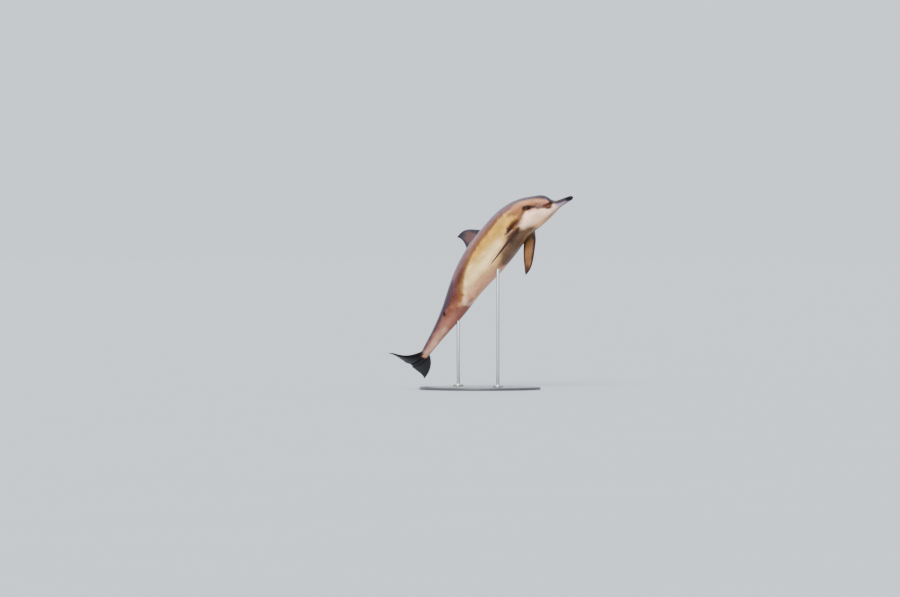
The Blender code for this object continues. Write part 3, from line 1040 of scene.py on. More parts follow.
@dataclass(frozen=True)
class WetSkin:
    """Smooth dolphin skin, wet from the sea.

    It reads as firm rubber under a thin film of water: soft broad highlights, one field of colour
    running into the next, fine mottling, and faint long scratches from teeth.
    """

    field: str = "#D8AA66"
    # (kind of fin, colour of its middle, colour of its rim)
    fins: tuple = (
        ("dorsal", "#5C3F3A", "#26202C"),
        ("fluke", "#110C0B", "#110C0B"),
        ("flipper", "#6E4C30", "#321A12"),
    )
    rim_edge: tuple = (0.5, 0.6, 1.0)  # soft, wobble and strength of the fins' rims
    wander_scale: float = 0.55  # of the coats' wandering edges
    # (size in mm, stretch along the body, darkest, lightest) of the clouds and the streaks
    mottling: tuple = ((45.0, 0.45, 0.74, 1.26), (7.0, 0.14, 0.84, 1.16))
    grain_mm: float = 3.0
    scratch_mm: float = 5.0

    def make(self) -> Material:
        """Lay the coats one over another, then the fins' own colours, the mottling and the film.

        Returns:
            The material.
        """
        film = {"Specular IOR Level": 0.12, "Coat Weight": 0.05, "Coat Roughness": 0.18}
        material, tree, shader = new_material("wet dolphin skin", film)
        rest = add_node(tree, "Attribute", "Vector", attribute_name="rest")
        noise = {"Vector": rest, "Scale": self.wander_scale, "Detail": 4.0, "Roughness": 0.6}
        wander = add_node(tree, "TexNoise", "Fac", noise)
        wander = add_node(tree, "Math", 0, {0: wander, 1: 0.5}, operation="SUBTRACT")
        color = to_linear(self.field)
        for coat in PATTERN:
            edge = (coat.soft, coat.wobble, coat.strength)
            color = self.lay(tree, f"coat {coat.name}", wander, edge, color, to_linear(coat.color))
        for kind, middle, rim in self.fins:
            there = add_node(tree, "Attribute", "Fac", attribute_name=f"on {kind}")
            colors = to_linear(middle), to_linear(rim)
            blade = self.lay(tree, f"rim {kind}", wander, self.rim_edge, *colors)
            color = add_node(tree, "Mix", 2, {0: there, 6: color, 7: blade}, data_type="RGBA")
        for size, stretch, dark, light in self.mottling:
            place = add_node(tree, "Mapping", "Vector", {"Vector": rest, "Scale": (stretch, 1.0, 1.0)})
            noise = {"Vector": place, "Scale": 1 / (size * MM), "Detail": 3.0}
            cloud = add_node(tree, "TexNoise", "Fac", noise)
            spread = {"From Min": 0.25, "From Max": 0.75, "To Min": dark, "To Max": light}
            tone = add_node(tree, "MapRange", "Result", {"Value": cloud, **spread})
            color = add_node(tree, "VectorMath", "Vector", {0: color, "Scale": tone}, operation="SCALE")
        tree.links.new(color, shader.inputs["Base Color"])
        fine = {"Vector": rest, "Scale": 1 / (self.grain_mm * MM), "Detail": 3.0}
        fine = add_node(tree, "TexNoise", "Fac", fine)
        rough = add_node(tree, "MapRange", "Result", {"Value": fine, "To Min": 0.36, "To Max": 0.54})
        tree.links.new(rough, shader.inputs["Roughness"])
        place = add_node(tree, "Mapping", "Vector", {"Vector": rest, "Scale": (0.25, 1.0, 1.0)})
        noise = {"Vector": place, "Scale": 1 / (self.scratch_mm * MM), "Detail": 2.0}
        scratches = add_node(tree, "TexNoise", "Fac", noise)
        bump = {"Height": scratches, "Strength": 0.10, "Distance": 0.002}
        tree.links.new(add_node(tree, "Bump", "Normal", bump), shader.inputs["Normal"])
        return material

    def lay(
        self,
        tree: NodeTree,
        attribute: str,
        wander: NodeSocket,
        edge: tuple[float, float, float],
        under: object,
        over: object,
    ) -> NodeSocket:
        """Lay one colour over another inside a marking.

        Args:
            tree: The material's nodes.
            attribute: What holds how far inside the marking each point is.
            wander: Noise about zero, which moves the marking's edge.
            edge: How far the edge fades and wanders, and the marking's strength.
            under: The colour outside.
            over: The colour inside.

        Returns:
            The colour of the two together.
        """
        soft, wobble, strength = edge
        inside = add_node(tree, "Attribute", "Fac", attribute_name=attribute)
        move = {0: wander, 1: 2 * wobble, 2: inside}
        moved = add_node(tree, "Math", 0, move, operation="MULTIPLY_ADD")
        fade = {"Value": moved, "From Min": -soft, "From Max": soft, "To Max": strength}
        share = add_node(tree, "MapRange", "Result", fade, interpolation_type="SMOOTHSTEP")
        return add_node(tree, "Mix", 2, {0: share, 6: under, 7: over}, data_type="RGBA")


@dataclass(frozen=True)
class WetEye:
    """A dolphin's eye: a dark brown iris and a wide pupil under a clear wet cornea."""

    pupil: str = "#050406"
    iris: str = "#1E0F08"
    white: str = "#140C0A"
    pupil_edge: tuple[float, float] = (0.28, 0.36)  # as shares of the eye's radius
    iris_edge: tuple[float, float] = (0.62, 0.72)

    def make(self) -> Material:
        """Build the material, which reads how far each point is from the eye's axis.

        Returns:
            The material.
        """
        wet = {"Roughness": 0.08, "Specular IOR Level": 0.2, "Coat Weight": 0.2, "Coat Roughness": 0.03}
        material, tree, shader = new_material("wet eye", wet)
        off = add_node(tree, "Attribute", "Fac", attribute_name="off axis")
        color = to_linear(self.pupil)
        for (start, end), beyond in ((self.pupil_edge, self.iris), (self.iris_edge, self.white)):
            fade = {"Value": off, "From Min": start, "From Max": end}
            share = add_node(tree, "MapRange", "Result", fade, interpolation_type="SMOOTHSTEP")
            layers = {0: share, 6: color, 7: to_linear(beyond)}
            color = add_node(tree, "Mix", 2, layers, data_type="RGBA")
        tree.links.new(color, shader.inputs["Base Color"])
        return material


@dataclass(frozen=True)
class SatinPaint:
    """Dark grey satin paint, sprayed on board: a faint orange-peel and a little dust."""

    color: str = "#3A3B3E"
    dusty: str = "#46474A"
    peel_mm: float = 2.5

    def make(self) -> Material:
        """Build the material.

        Returns:
            The material.
        """
        material, tree, shader = new_material("satin sprayed paint", {"Roughness": 0.42})
        place = add_node(tree, "TexCoord", "Object")
        dust = add_node(tree, "TexNoise", "Fac", {"Vector": place, "Scale": 9.0, "Detail": 5.0})
        layers = {0: dust, 6: to_linear(self.color), 7: to_linear(self.dusty)}
        color = add_node(tree, "Mix", 2, layers, data_type="RGBA")
        tree.links.new(color, shader.inputs["Base Color"])
        noise = {"Vector": place, "Scale": 1000 / self.peel_mm, "Detail": 1.0}
        peel = add_node(tree, "TexNoise", "Fac", noise)
        bump = {"Height": peel, "Strength": 0.15, "Distance": 0.0004}
        tree.links.new(add_node(tree, "Bump", "Normal", bump), shader.inputs["Normal"])
        return material


@dataclass(frozen=True)
class BrushedSteel:
    """Stainless steel brushed along the rod: fine lines that blur the highlight."""

    color: str = "#C4C4C2"
    line_mm: float = 1.2

    def make(self) -> Material:
        """Build the material.

        Returns:
            The material.
        """
        bare = {"Base Color": to_linear(self.color), "Metallic": 1.0}
        material, tree, shader = new_material("brushed stainless steel", bare)
        place = add_node(tree, "TexCoord", "Object")
        along = add_node(tree, "Mapping", "Vector", {"Vector": place, "Scale": (1.0, 1.0, 0.03)})
        noise = {"Vector": along, "Scale": 1000 / self.line_mm, "Detail": 2.0}
        lines = add_node(tree, "TexNoise", "Fac", noise)
        rough = add_node(tree, "MapRange", "Result", {"Value": lines, "To Min": 0.24, "To Max": 0.42})
        tree.links.new(rough, shader.inputs["Roughness"])
        bump = {"Height": lines, "Strength": 0.08, "Distance": 0.0003}
        tree.links.new(add_node(tree, "Bump", "Normal", bump), shader.inputs["Normal"])
        return material


@dataclass(frozen=True)
class FloorPaint:
    """Matt pale paint on a studio floor, with a hardly visible cloudiness."""

    color: str = "#B7BBC0"
    cloudy: str = "#BABEC3"

    def make(self) -> Material:
        """Build the material.

        Returns:
            The material.
        """
        dull = {"Roughness": 0.9, "Specular IOR Level": 0.1}
        material, tree, shader = new_material("matt floor paint", dull)
        place = add_node(tree, "TexCoord", "Object")
        cloud = add_node(tree, "TexNoise", "Fac", {"Vector": place, "Scale": 0.8})
        layers = {0: cloud, 6: to_linear(self.color), 7: to_linear(self.cloudy)}
        tone = add_node(tree, "Mix", 2, layers, data_type="RGBA")
        tree.links.new(tone, shader.inputs["Base Color"])
        return material


# --- the animal ------------------------------------------------------------------------------
@dataclass
class Skin:
    """The whole skin of the animal, one closed surface."""

    spine: Spine
    form: BodyForm
    # (front, rear, number of rings) of each stretch of the body
    zones: tuple = (
        (0.0, 1.5, 6),
        (1.5, 23.1, 57),
        (23.1, 29.1, 15),
        (29.1, 40.8, 13),
        (40.8, 56.3, 20),
        (56.3, 88.2, 30),
        (88.2, 90.2, 4),
        (90.2, 99.0, 20),
        (99.0, 99.25, 1),
    )
    caps: tuple = (-0.07, 99.30)  # body x of the closed front and rear ends
    # the lips' height over the spine, by body x
    mouth: tuple = ((0, 5, 9, 11, 12.8, 14.4, 30), (-0.05, -0.20, -0.35, -0.25, 0.10, 0.50, 0.6))
    mouth_side: int = 26
    mouth_fades: tuple = (19.5, 13.5)  # where the sides stop following the lips
    # (millimetres, most degrees) from the lips to the first and the second side beyond them
    lip_sides: tuple = ((1.3, 4.0), (3.4, 8.0))
    lip_groove: float = 3.2  # depth in millimetres
    lip_rise: float = 0.5  # of the sides next to the groove
    lip_start: tuple = (0.0, 0.8)  # body x over which the groove deepens
    lip_end: float = 14.2  # body x where it has faded
    lip_fade: float = 2.2
    least_size: float = 0.3  # of the body's radius, where millimetres are turned to degrees
    slit: tuple = (66, 71)  # body x of the vent slit's ends
    slit_depth: float = 1.8  # millimetres
    slit_width: float = 0.2
    slit_fade: float = 0.8
    # radians over which the angle is rounded, so that no crease of colour runs along the body
    soft_back: float = 0.06
    soft_belly: float = 0.10
    # (kind of fin, how far inside the dark rim its very edge is, and the fall from there)
    fin_rims: tuple = (("dorsal", 0.8, 4.2), ("fluke", 0.8, 4.2), ("flipper", 0.75, 4.4))
    tip_rim: float = 0.9  # how fast the rim falls from the tip, as a share of how fast from the edges
    limbs: list[Limb] = field(default_factory=limbs)

    def build(self) -> Object:
        """Shape the straight body, grow its fins, smooth it and carry it into the leap.

        Returns:
            The skin.
        """
        obj = self.tube()
        for limb in self.limbs:
            self.grow(obj, limb)
        for hand in Hand:
            Eyelids(self.form, hand).cut_into(obj)
        Blowhole(self.form).cut_into(obj)
        modifier = obj.modifiers.new("smooth", "SUBSURF")
        modifier.levels = modifier.render_levels = 1
        apply_modifiers(obj)
        self.relief(obj)
        self.note_pattern(obj)
        mesh = obj.data
        straight = vertices_of(mesh)
        held = read_attribute(mesh, "held")
        anchor = straight[:, 0] * (1 - held) + FLIPPER_ROOT[0] * held
        move_vertices(mesh, self.spine.place(straight, anchor))
        self.turn_outward(obj)
        mesh.shade_smooth()
        return obj

    def ring_places(self) -> ndarray:
        """Body x of every ring."""
        places = [np.linspace(a, b, n + 1)[:-1] for a, b, n in self.zones]
        return np.append(np.concatenate(places), self.zones[-1][1])

    def side_angles(self, x: ndarray, side: ndarray) -> ndarray:
        """The angle around the body of each point, with the middle of the sides kept on the lips.

        Args:
            x: Body x of each point.
            side: The number of its side, from the back round by the right.

        Returns:
            The angles in radians.
        """
        back, belly, half = self.form.section(x)
        height = monotone(*self.mouth, x)
        lips = np.degrees(np.arccos(np.clip(height / np.where(height > 0, back, belly), -1, 1)))
        size = np.maximum((half + belly) / 2, self.least_size)
        near, far = (np.minimum(np.degrees(mm * MM / size), most) for mm, most in self.lip_sides)
        j = np.minimum(side, SIDES - side).astype(float)
        m = self.mouth_side
        aligned = np.select(
            [j <= m - 2, j <= m - 1, j <= m, j <= m + 1, j <= m + 2],
            [
                j / (m - 2) * (lips - far),
                lips - far + (far - near) * (j - m + 2),
                lips - near * (m - j),
                lips + near * (j - m),
                lips + near + (far - near) * (j - m - 1),
            ],
            lips + far + (180 - lips - far) * (j - m - 2) / (SIDES / 2 - m - 2),
        )
        share = ramp(x, *self.mouth_fades)
        angle = aligned * share + j * 360 / SIDES * (1 - share)
        return np.radians(np.where(side > SIDES / 2, 360 - angle, angle))

    def tube(self) -> Object:
        """The body without fins, from a ball whose rings are moved to the body's sections.

        Returns:
            The skin so far, in body coordinates.
        """
        places = self.ring_places()
        bpy.ops.object.select_all(action="DESELECT")
        bpy.ops.mesh.primitive_uv_sphere_add(segments=SIDES, ring_count=len(places) + 1, radius=1.0)
        obj = bpy.context.active_object
        obj.name = obj.data.name = "dolphin_skin"
        mesh = obj.data
        ball = vertices_of(mesh)
        last = len(places) + 1
        ring = np.rint(np.arccos(np.clip(ball[:, 2], -1, 1)) / math.pi * last).astype(int)
        side = np.rint(np.arctan2(ball[:, 1], ball[:, 0]) / (2 * math.pi) * SIDES).astype(int) % SIDES
        x = places[np.clip(ring - 1, 0, len(places) - 1)]
        points = self.form.point(x, self.side_angles(x, side))
        from_lips = np.abs(np.minimum(side, SIDES - side) - self.mouth_side)
        sunk = np.select([from_lips == 0, from_lips == 1], [self.lip_groove, -self.lip_rise], 0.0)
        sunk *= MM * ramp(x, self.lip_end, self.lip_end - self.lip_fade) * ramp(x, *self.lip_start)
        points -= unit(points * (0, 1, 1)) * sunk[:, None]
        points[ring == 0] = (self.caps[0], 0, 0)
        points[ring == last] = (self.caps[1], 0, 0)
        move_vertices(mesh, points)
        for name, values in (("ring", ring), ("side", side), ("limb", np.zeros(len(x), dtype=int))):
            write_attribute(mesh, name, values)
        for name in ("held", "chord", "span", *(f"on {kind}" for kind in FIN_KINDS)):
            write_attribute(mesh, name, np.zeros(len(x)))
        return obj

    def grow(self, obj: Object, limb: Limb) -> None:
        """Extrude a patch of the body, loop by loop, into a fin.

        Args:
            obj: The skin.
            limb: The fin.
        """
        mesh = obj.data
        places = self.ring_places()
        low, high = (int(np.argmin(np.abs(places - x))) + 1 for x in limb.rings)
        sides = limb.sides[1] - limb.sides[0]
        patch = Patch(obj, low, high - low, limb.sides[0] % SIDES, sides)
        patch.select()
        marks = zip(*(read_attribute(mesh, name) for name in ("ring", "side", "limb")))
        rim = {(r, s): point for (r, s, number), point in zip(marks, vertices_of(mesh)) if number == 0}
        beyond = limb.blade.reach * SHORT_OF_TIP - limb.first
        steps = [(share, limb.first) for share in (*limb.fillet, 1.0)]
        for i in range(1, limb.spans + 1):
            steps.append((1.0, limb.first + beyond * math.sin(0.5 * math.pi * i / limb.spans)))
        for share, out in steps:
            moved, along, around = patch.extrude()
            mesh = obj.data
            points, chord = self.blade_points(limb, (along + 1) / 2, around, out)
            if share < 1:
                marks = zip(read_attribute(mesh, "ring")[moved], read_attribute(mesh, "side")[moved])
                points = self.fillet(limb, np.array([rim[mark] for mark in marks]), points, share)
            values = {
                "limb": limb.number,
                "chord": chord,
                "span": out / limb.blade.reach * share,
                f"on {limb.name.split()[0]}": ramp(share, 0, 1),
            }
            if limb.anchor is not None:
                values["held"] = share
            put(mesh, moved, points, values)

    def blade_points(
        self, limb: Limb, u: ndarray, a: ndarray, out: float
    ) -> tuple[ndarray, ndarray]:
        """Points of one wing section.

        Args:
            limb: The fin.
            u: Share of the way from the leading to the trailing edge.
            a: From one face, -1, to the other, 1.
            out: How far out the section is.

        Returns:
            The points in body coordinates, and each one's share along the chord.
        """
        lead, trail, thick = limb.blade.edges(out)
        nose = u < 1e-6
        t = np.where(nose, NOSE * (1 - np.cos(0.5 * math.pi * a)), NOSE + (1 - NOSE) * u**CROWDING)
        half = np.maximum(wing_half(np.maximum(t, NOSE)) * thick / 2, THIN_EDGE)
        off = half * np.where(nose, np.sin(0.5 * math.pi * a), a)
        return limb.place(lead + (trail - lead) * t, np.full(len(t), out), off), t

    def fillet(self, limb: Limb, start: ndarray, clear: ndarray, share: float) -> ndarray:
        """Points on the curves that lead from the skin into the fin's first clear section.

        Args:
            limb: The fin.
            start: Where each curve leaves the skin.
            clear: Where it meets the clear section.
            share: How far along the curves the points are.

        Returns:
            The points.
        """
        gap = clear - start
        length = np.linalg.norm(gap, axis=1, keepdims=True)
        normal = unit(start * (0, 1, 1))
        leave = gap - normal * np.sum(gap * normal, axis=1, keepdims=True)
        arrive = np.array(limb.axis) * length
        f = share
        return (
            (2 * f**3 - 3 * f**2 + 1) * start
            + (f**3 - 2 * f**2 + f) * leave * LEAVE_PULL
            + (3 * f**2 - 2 * f**3) * clear
            + (f**3 - f**2) * arrive * ARRIVE_PULL
        )

    def relief(self, obj: Object) -> None:
        """Raise and hollow the skin where the swells say, and press in the vent slit.

        Args:
            obj: The skin, in body coordinates.
        """
        mesh = obj.data
        points = vertices_of(mesh)
        x = points[:, 0]
        angle = np.arctan2(np.abs(points[:, 1]), points[:, 2])
        plain = 1 - np.clip(sum(read_attribute(mesh, f"on {kind}") for kind in FIN_KINDS), 0, 1)
        from_belly = (math.pi - angle) * self.form.girth(x) / self.slit_width
        (front, rear), fade = self.slit, self.slit_fade
        slit = np.exp(-(from_belly**2)) * ramp(x, front, front + fade) * ramp(x, rear, rear - fade)
        height = self.form.swelling(x, angle) - self.slit_depth * MM * slit
        outward = unit(points * (0, 1, 1))
        move_vertices(mesh, points + outward * (height * plain)[:, None])

    def note_pattern(self, obj: Object) -> None:
        """Keep on each vertex its straight place and how far inside each marking it is.

        Args:
            obj: The skin, in body coordinates.
        """
        mesh = obj.data
        points = vertices_of(mesh)
        x = points[:, 0]
        angle = np.hypot(np.arctan2(np.abs(points[:, 1]), points[:, 2]), self.soft_back)
        angle = math.pi - np.hypot(math.pi - angle, self.soft_belly)
        girth = self.form.girth(x)
        write_attribute(mesh, "rest", points)
        for coat in PATTERN:
            inside = coat.inside(x, angle, girth)
            if coat.right_only:
                inside = np.where(points[:, 1] > 0, inside, -OFF_THE_COAT)
            write_attribute(mesh, f"coat {coat.name}", np.clip(inside, -OFF_THE_COAT, OFF_THE_COAT))
        chord = read_attribute(mesh, "chord")
        span = read_attribute(mesh, "span")
        edge = np.minimum(np.minimum(chord, 1 - chord), (1 - span) * self.tip_rim)
        for kind, rim, fall in self.fin_rims:
            write_attribute(mesh, f"rim {kind}", rim - fall * edge)

    def turn_outward(self, obj: Object) -> None:
        """Make every face point out of the closed skin.

        Args:
            obj: The skin.
        """
        select_only(obj)
        bpy.ops.object.mode_set(mode="EDIT")
        bpy.ops.mesh.select_all(action="SELECT")
        bpy.ops.mesh.normals_make_consistent(inside=False)
        bpy.ops.object.mode_set(mode="OBJECT")

    def dress(self, obj: Object) -> None:
        """Give the skin its finish, and let it stand for the solids of flesh."""
        finish_piece(obj, WetSkin().make(), "skin", *FLESH)


@dataclass
class EyeSizes:
    """The eye's place on the straight head and its sizes in millimetres."""

    x: float = 16.8
    rise: float = 1.2
    radius: float = 12.5
    sunk: float = 9.4  # depth of the ball's centre under the skin

    def frame(self, form: BodyForm) -> tuple[ndarray, ndarray, ndarray, ndarray]:
        """(place, forward, towards the back, outward) on the right side."""
        back = float(form.section(np.array([self.x]))[0][0])
        return form.frame_at(self.x, math.acos(self.rise / back))


@dataclass
class Eyelids:
    """The lids, their folds and the socket, extruded from a patch of the skin."""

    form: BodyForm
    hand: Hand
    sizes: EyeSizes = field(default_factory=EyeSizes)
    # (half length, half height, height over the skin, share that it follows the ball), in mm
    lids: tuple = (
        (13.2, 11.0, 0.2, 0.0),
        (12.3, 9.5, -1.2, 0.0),
        (11.6, 8.0, 0.9, 0.35),
        (10.4, 6.4, 1.0, 1.0),
        (9.8, 5.7, 0.2, 1.0),
    )
    socket: tuple = ((13.4, -6.5), (12.0, -15.0), (7.0, -22.5))  # (radius, depth) behind the lids
    span: int = 4  # rings and sides across the patch they are cut from
    tilt: float = 4.0  # degrees that the slit's front corner drops
    almond: tuple = (1.04, 0.28)  # how the lids' height falls towards the slit's corners

    def cut_into(self, obj: Object) -> None:
        """Extrude the patch inwards, loop by loop.

        Args:
            obj: The skin, in body coordinates.
        """
        center, forward, upward, outward = self.sizes.frame(self.form)
        sign = np.array([1, self.hand.value, 1])
        patch = Patch.around(obj, center * sign, self.span, self.span)
        patch.select()
        turn = math.radians(self.tilt)
        full, power = self.almond
        for loop in self.lids + self.socket:
            moved, v, w = patch.extrude()
            v, w = -v, -w * self.hand.value
            # the square made round
            across = v * np.sqrt(1 - w * w / 2)
            up = w * np.sqrt(1 - v * v / 2)
            if loop in self.lids:
                length, height, lift, follow = loop
                a, b = across * length, up * height * (full - across**2) ** power
                ball = np.sqrt(np.maximum(self.sizes.radius**2 - a * a - b * b, 1.0)) - self.sizes.sunk
                over = lift + follow * ball
            else:
                radius, depth = loop
                a, b, over = across * radius, up * radius, np.full(len(v), depth)
            a, b = a * math.cos(turn) + b * math.sin(turn), b * math.cos(turn) - a * math.sin(turn)
            shift = np.outer(a, forward) + np.outer(b, upward) + np.outer(over, outward)
            put(obj.data, moved, (center + shift * MM) * sign, {"limb": OPENING})


@dataclass
class Blowhole:
    """The crescent of the blowhole on top of the head, open ends forward."""

    form: BodyForm
    x: float = 16.6
    half_width: float = 13.0  # millimetres
    ends_forward: float = 6.5  # millimetres
    ends_narrow: float = 0.55  # share of the length that the ends lose
    # (length along the body, share of the width, height over the skin), in mm
    loops: tuple = ((10.0, 1.2, 0.0), (5.6, 1.0, -0.3), (2.6, 0.9, -2.2), (1.8, 0.8, -7.0))
    patch: tuple = (2, 6)  # rings and sides across the patch it is cut from

    def cut_into(self, obj: Object) -> None:
        """Extrude a small patch of the skin into the crescent.

        Args:
            obj: The skin, in body coordinates.
        """
        back = float(self.form.section(np.array([self.x]))[0][0])
        patch = Patch.around(obj, np.array([self.x, 0.0, back]), *self.patch)
        patch.select()
        for length, share, lift in self.loops:
            moved, v, w = patch.extrude()
            across = w * self.half_width * share * MM
            along = v * length / 2 * (1 - self.ends_narrow * w * w) - self.ends_forward * w * w
            x = self.x + along * MM
            back, _, half = self.form.section(x)
            height = back * np.sqrt(1 - (across / half) ** 2) + lift * MM
            put(obj.data, moved, np.stack([x, across, height], 1), {"limb": OPENING})


@dataclass
class Eye:
    """An eyeball with a cornea that stands a little proud of it."""

    spine: Spine
    form: BodyForm
    hand: Hand
    sizes: EyeSizes = field(default_factory=EyeSizes)
    clear: float = 0.985  # the ball's radius as a share of the socket's
    cornea: float = 0.09  # how far the cornea stands proud, as a share of the radius
    cornea_edge: float = 0.62  # its own radius, as a share of the ball's
    segments: int = 48
    rings: int = 32
    behind: float = 2.0  # what the back half is given as its distance from the axis

    def build(self) -> Object:
        """Turn a ball to look out of the head, and raise its cornea.

        Returns:
            The eyeball.
        """
        center, _, _, outward = self.sizes.frame(self.form)
        sign = np.array([1, self.hand.value, 1])
        lift = float(self.form.swelling(center[:1], np.arctan2(center[1:2], center[2:3]))[0])
        inner = center - outward * (self.sizes.sunk * MM - lift)
        seat, front = self.spine.place(np.stack([inner * sign, (inner + outward) * sign]))
        look = Vector(front - seat).normalized()
        radius = self.sizes.radius / 1000 * self.clear
        bpy.ops.object.select_all(action="DESELECT")
        bpy.ops.mesh.primitive_uv_sphere_add(
            segments=self.segments, ring_count=self.rings, radius=radius
        )
        obj = bpy.context.active_object
        obj.name = obj.data.name = f"eye_{self.hand.name.lower()}_ball"
        mesh = obj.data
        points = vertices_of(mesh)
        off = np.linalg.norm(points[:, :2], axis=1) / radius
        front_half = points[:, 2] > 0
        raised = np.where(front_half, self.cornea * ramp(off, self.cornea_edge, 0), 0)
        move_vertices(mesh, points * (1 + raised)[:, None])
        write_attribute(mesh, "off axis", np.where(front_half, off, self.behind))
        mesh.shade_smooth()
        obj.matrix_world = Matrix.Translation(seat) @ look.to_track_quat("Z", "Y").to_matrix().to_4x4()
        apply_modifiers(obj)
        return obj

    def dress(self, obj: Object, finish: Material) -> None:
        """Give the eye its finish, and let it stand for its solid."""
        finish_piece(obj, finish, "eye", f"eye_{self.hand.name.lower()}")


# --- the stand -------------------------------------------------------------------------------
@dataclass(frozen=True)
class Turning:
    """A turned disc or rod, in metres."""

    name: str
    radius: float
    low: float  # height of its underside
    high: float  # height of its top
    edge: float  # radius of its rounded edges
    sides: int

    def build(self, at: Sequence[float]) -> Object:
        """Add a cylinder and round its edges.

        Args:
            at: A point on its axis.

        Returns:
            The piece.
        """
        bpy.ops.object.select_all(action="DESELECT")
        bpy.ops.mesh.primitive_cylinder_add(
            vertices=self.sides,
            radius=self.radius,
            depth=self.high - self.low,
            location=(float(at[0]), float(at[1]), (self.low + self.high) / 2),
            end_fill_type="NGON",
        )
        obj = bpy.context.active_object
        obj.name = obj.data.name = self.name
        modifier = obj.modifiers.new("rounded edges", "BEVEL")
        modifier.width = self.edge
        modifier.segments = 4
        modifier.limit_method = "ANGLE"
        modifier.angle_limit = math.radians(50)
        apply_modifiers(obj)
        select_only(obj)
        bpy.ops.object.shade_smooth_by_angle(angle=math.radians(35))
        return obj


@dataclass
class Stand:
    """A round base, and two upright rods on collars."""

    spine: Spine
    form: BodyForm
    base_radius: float = 0.40
    base_height: float = 0.018
    collar_radius: float = 0.034
    collar_height: float = 0.014
    rod_radius: float = 0.011
    rods_at: tuple = (("front", 39.0), ("rear", 69.0))  # body x above each rod
    bite: float = 0.006  # how far a whole rod reaches into the skin
    gap: float = 0.0003  # between one piece and the next
    looked_over: tuple = (30, 80)  # body x of the stretch that is looked over for a rod's top

    def build(self) -> dict[str, Object]:
        """Build the base, the collars and the rods.

        Returns:
            Each piece by the name of its solid.
        """
        base = Turning("base_disc", self.base_radius, 0.0, self.base_height, edge=0.003, sides=144)
        made = {"stand_base": base.build((0, 0))}
        foot = self.base_height + self.gap
        top = foot + self.collar_height
        for name, x in self.rods_at:
            above = self.spine.place(np.array([[x, 0.0, 0.0]]))[0]
            collar = Turning(f"collar_{name}", self.collar_radius, foot, top, edge=0.0025, sides=64)
            made[f"stand_collar_{name}"] = collar.build(above)
            end = self.inside(above)
            rod = Turning(f"rod_{name}", self.rod_radius, top + self.gap, end, edge=0.001, sides=40)
            made[f"stand_rod_{name}"] = rod.build(above)
        return made

    def inside(self, above: ndarray) -> float:
        """The height at which a rod is wholly inside the skin.

        Args:
            above: The place on the spine over the rod.

        Returns:
            The height in metres.
        """
        angle = np.linspace(0, 2 * math.pi, 721)
        angle, x = np.meshgrid(angle, np.linspace(*self.looked_over, 501))
        skin = self.spine.place(self.form.point(x.ravel(), angle.ravel()))
        over_rod = np.hypot(skin[:, 0] - above[0], skin[:, 1] - above[1]) < self.rod_radius
        lower_side = skin[:, 2] < above[2]
        return float(skin[over_rod & lower_side, 2].max()) + self.bite

    def dress(self, made: dict[str, Object]) -> None:
        """Give the stand its finishes.

        Args:
            made: Each piece by the name of its solid.
        """
        paint, steel = SatinPaint().make(), BrushedSteel().make()
        for node, obj in made.items():
            plate = node == "stand_base"
            finish, slot = (paint, "stand_plate") if plate else (steel, "stand_steel")
            finish_piece(obj, finish, slot, node)


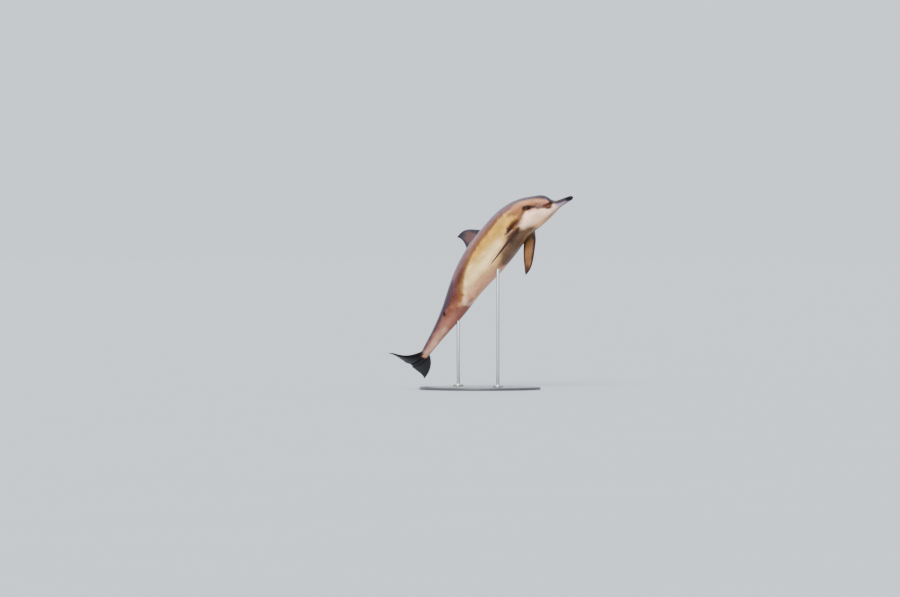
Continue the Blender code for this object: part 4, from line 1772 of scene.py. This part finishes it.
# --- the studio ------------------------------------------------------------------------------
@dataclass
class Studio:
    """The camera, the floor and the lights."""

    camera_place: tuple = (-0.198, -40.0, 0.921)
    pitch: float = 0.458  # degrees downwards
    lens: float = 242.5
    world_color: str = "#D3DAE4"
    world_strength: float = 1.6
    # (name, strength, width in degrees, turns in degrees)
    suns: tuple = (
        ("key", 5.6, 25.0, (62.0, 0.0, -12.0)),
        ("fill from behind", 1.2, 60.0, (-55.0, 0.0, 15.0)),
    )
    floor_size: float = 900.0

    def camera(self) -> None:
        """A long lens, far off and a little over the middle of the leap."""
        data = bpy.data.cameras.new("camera")
        data.lens = self.lens
        data.sensor_width = 36.0
        data.clip_start = 0.5
        data.clip_end = 2000.0
        obj = bpy.data.objects.new("camera", data)
        bpy.context.scene.collection.objects.link(obj)
        obj.location = self.camera_place
        obj.rotation_euler = (math.radians(90 - self.pitch), 0.0, 0.0)
        bpy.context.scene.camera = obj

    def floor(self) -> None:
        """A broad pale floor."""
        bpy.ops.object.select_all(action="DESELECT")
        bpy.ops.mesh.primitive_plane_add(size=self.floor_size, location=(0, 0, 0))
        obj = bpy.context.active_object
        obj.name = "floor"
        bpy.ops.object.transform_apply(location=True, rotation=True, scale=True)
        obj.data.materials.append(FloorPaint().make())

    def lights(self) -> None:
        """A broad sun from the front, high on the left, a weak one behind, and an even pale sky."""
        world = bpy.data.worlds.new("pale sky")
        bpy.context.scene.world = world
        world.use_nodes = True
        sky = world.node_tree.nodes["Background"]
        sky.inputs["Color"].default_value = to_linear(self.world_color)
        sky.inputs["Strength"].default_value = self.world_strength
        for name, strength, width, turns in self.suns:
            data = bpy.data.lights.new(name, "SUN")
            data.energy = strength
            data.angle = math.radians(width)
            obj = bpy.data.objects.new(name, data)
            obj.rotation_euler = tuple(math.radians(turn) for turn in turns)
            bpy.context.scene.collection.objects.link(obj)

    def build(self) -> None:
        """Set up the camera, the floor and the lights."""
        self.camera()
        self.floor()
        self.lights()


def report(obj: Object) -> None:
    """Log a piece's size."""
    obj.data.calc_loop_triangles()
    LOG.info("%s: %d triangles", obj.name, len(obj.data.loop_triangles))


def main() -> None:
    """Build the animal, its stand and the studio."""
    logging.basicConfig(level=logging.INFO, format="%(name)s: %(message)s")
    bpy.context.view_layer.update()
    Studio().build()
    spine, form = Spine(), BodyForm()
    skin = Skin(spine, form)
    body = skin.build()
    skin.dress(body)
    report(body)
    eye_finish = WetEye().make()
    for hand in Hand:
        eye = Eye(spine, form, hand)
        ball = eye.build()
        eye.dress(ball, eye_finish)
        report(ball)
    stand = Stand(spine, form)
    pieces = stand.build()
    stand.dress(pieces)
    for piece in pieces.values():
        report(piece)


if __name__ == "__main__":
    main()
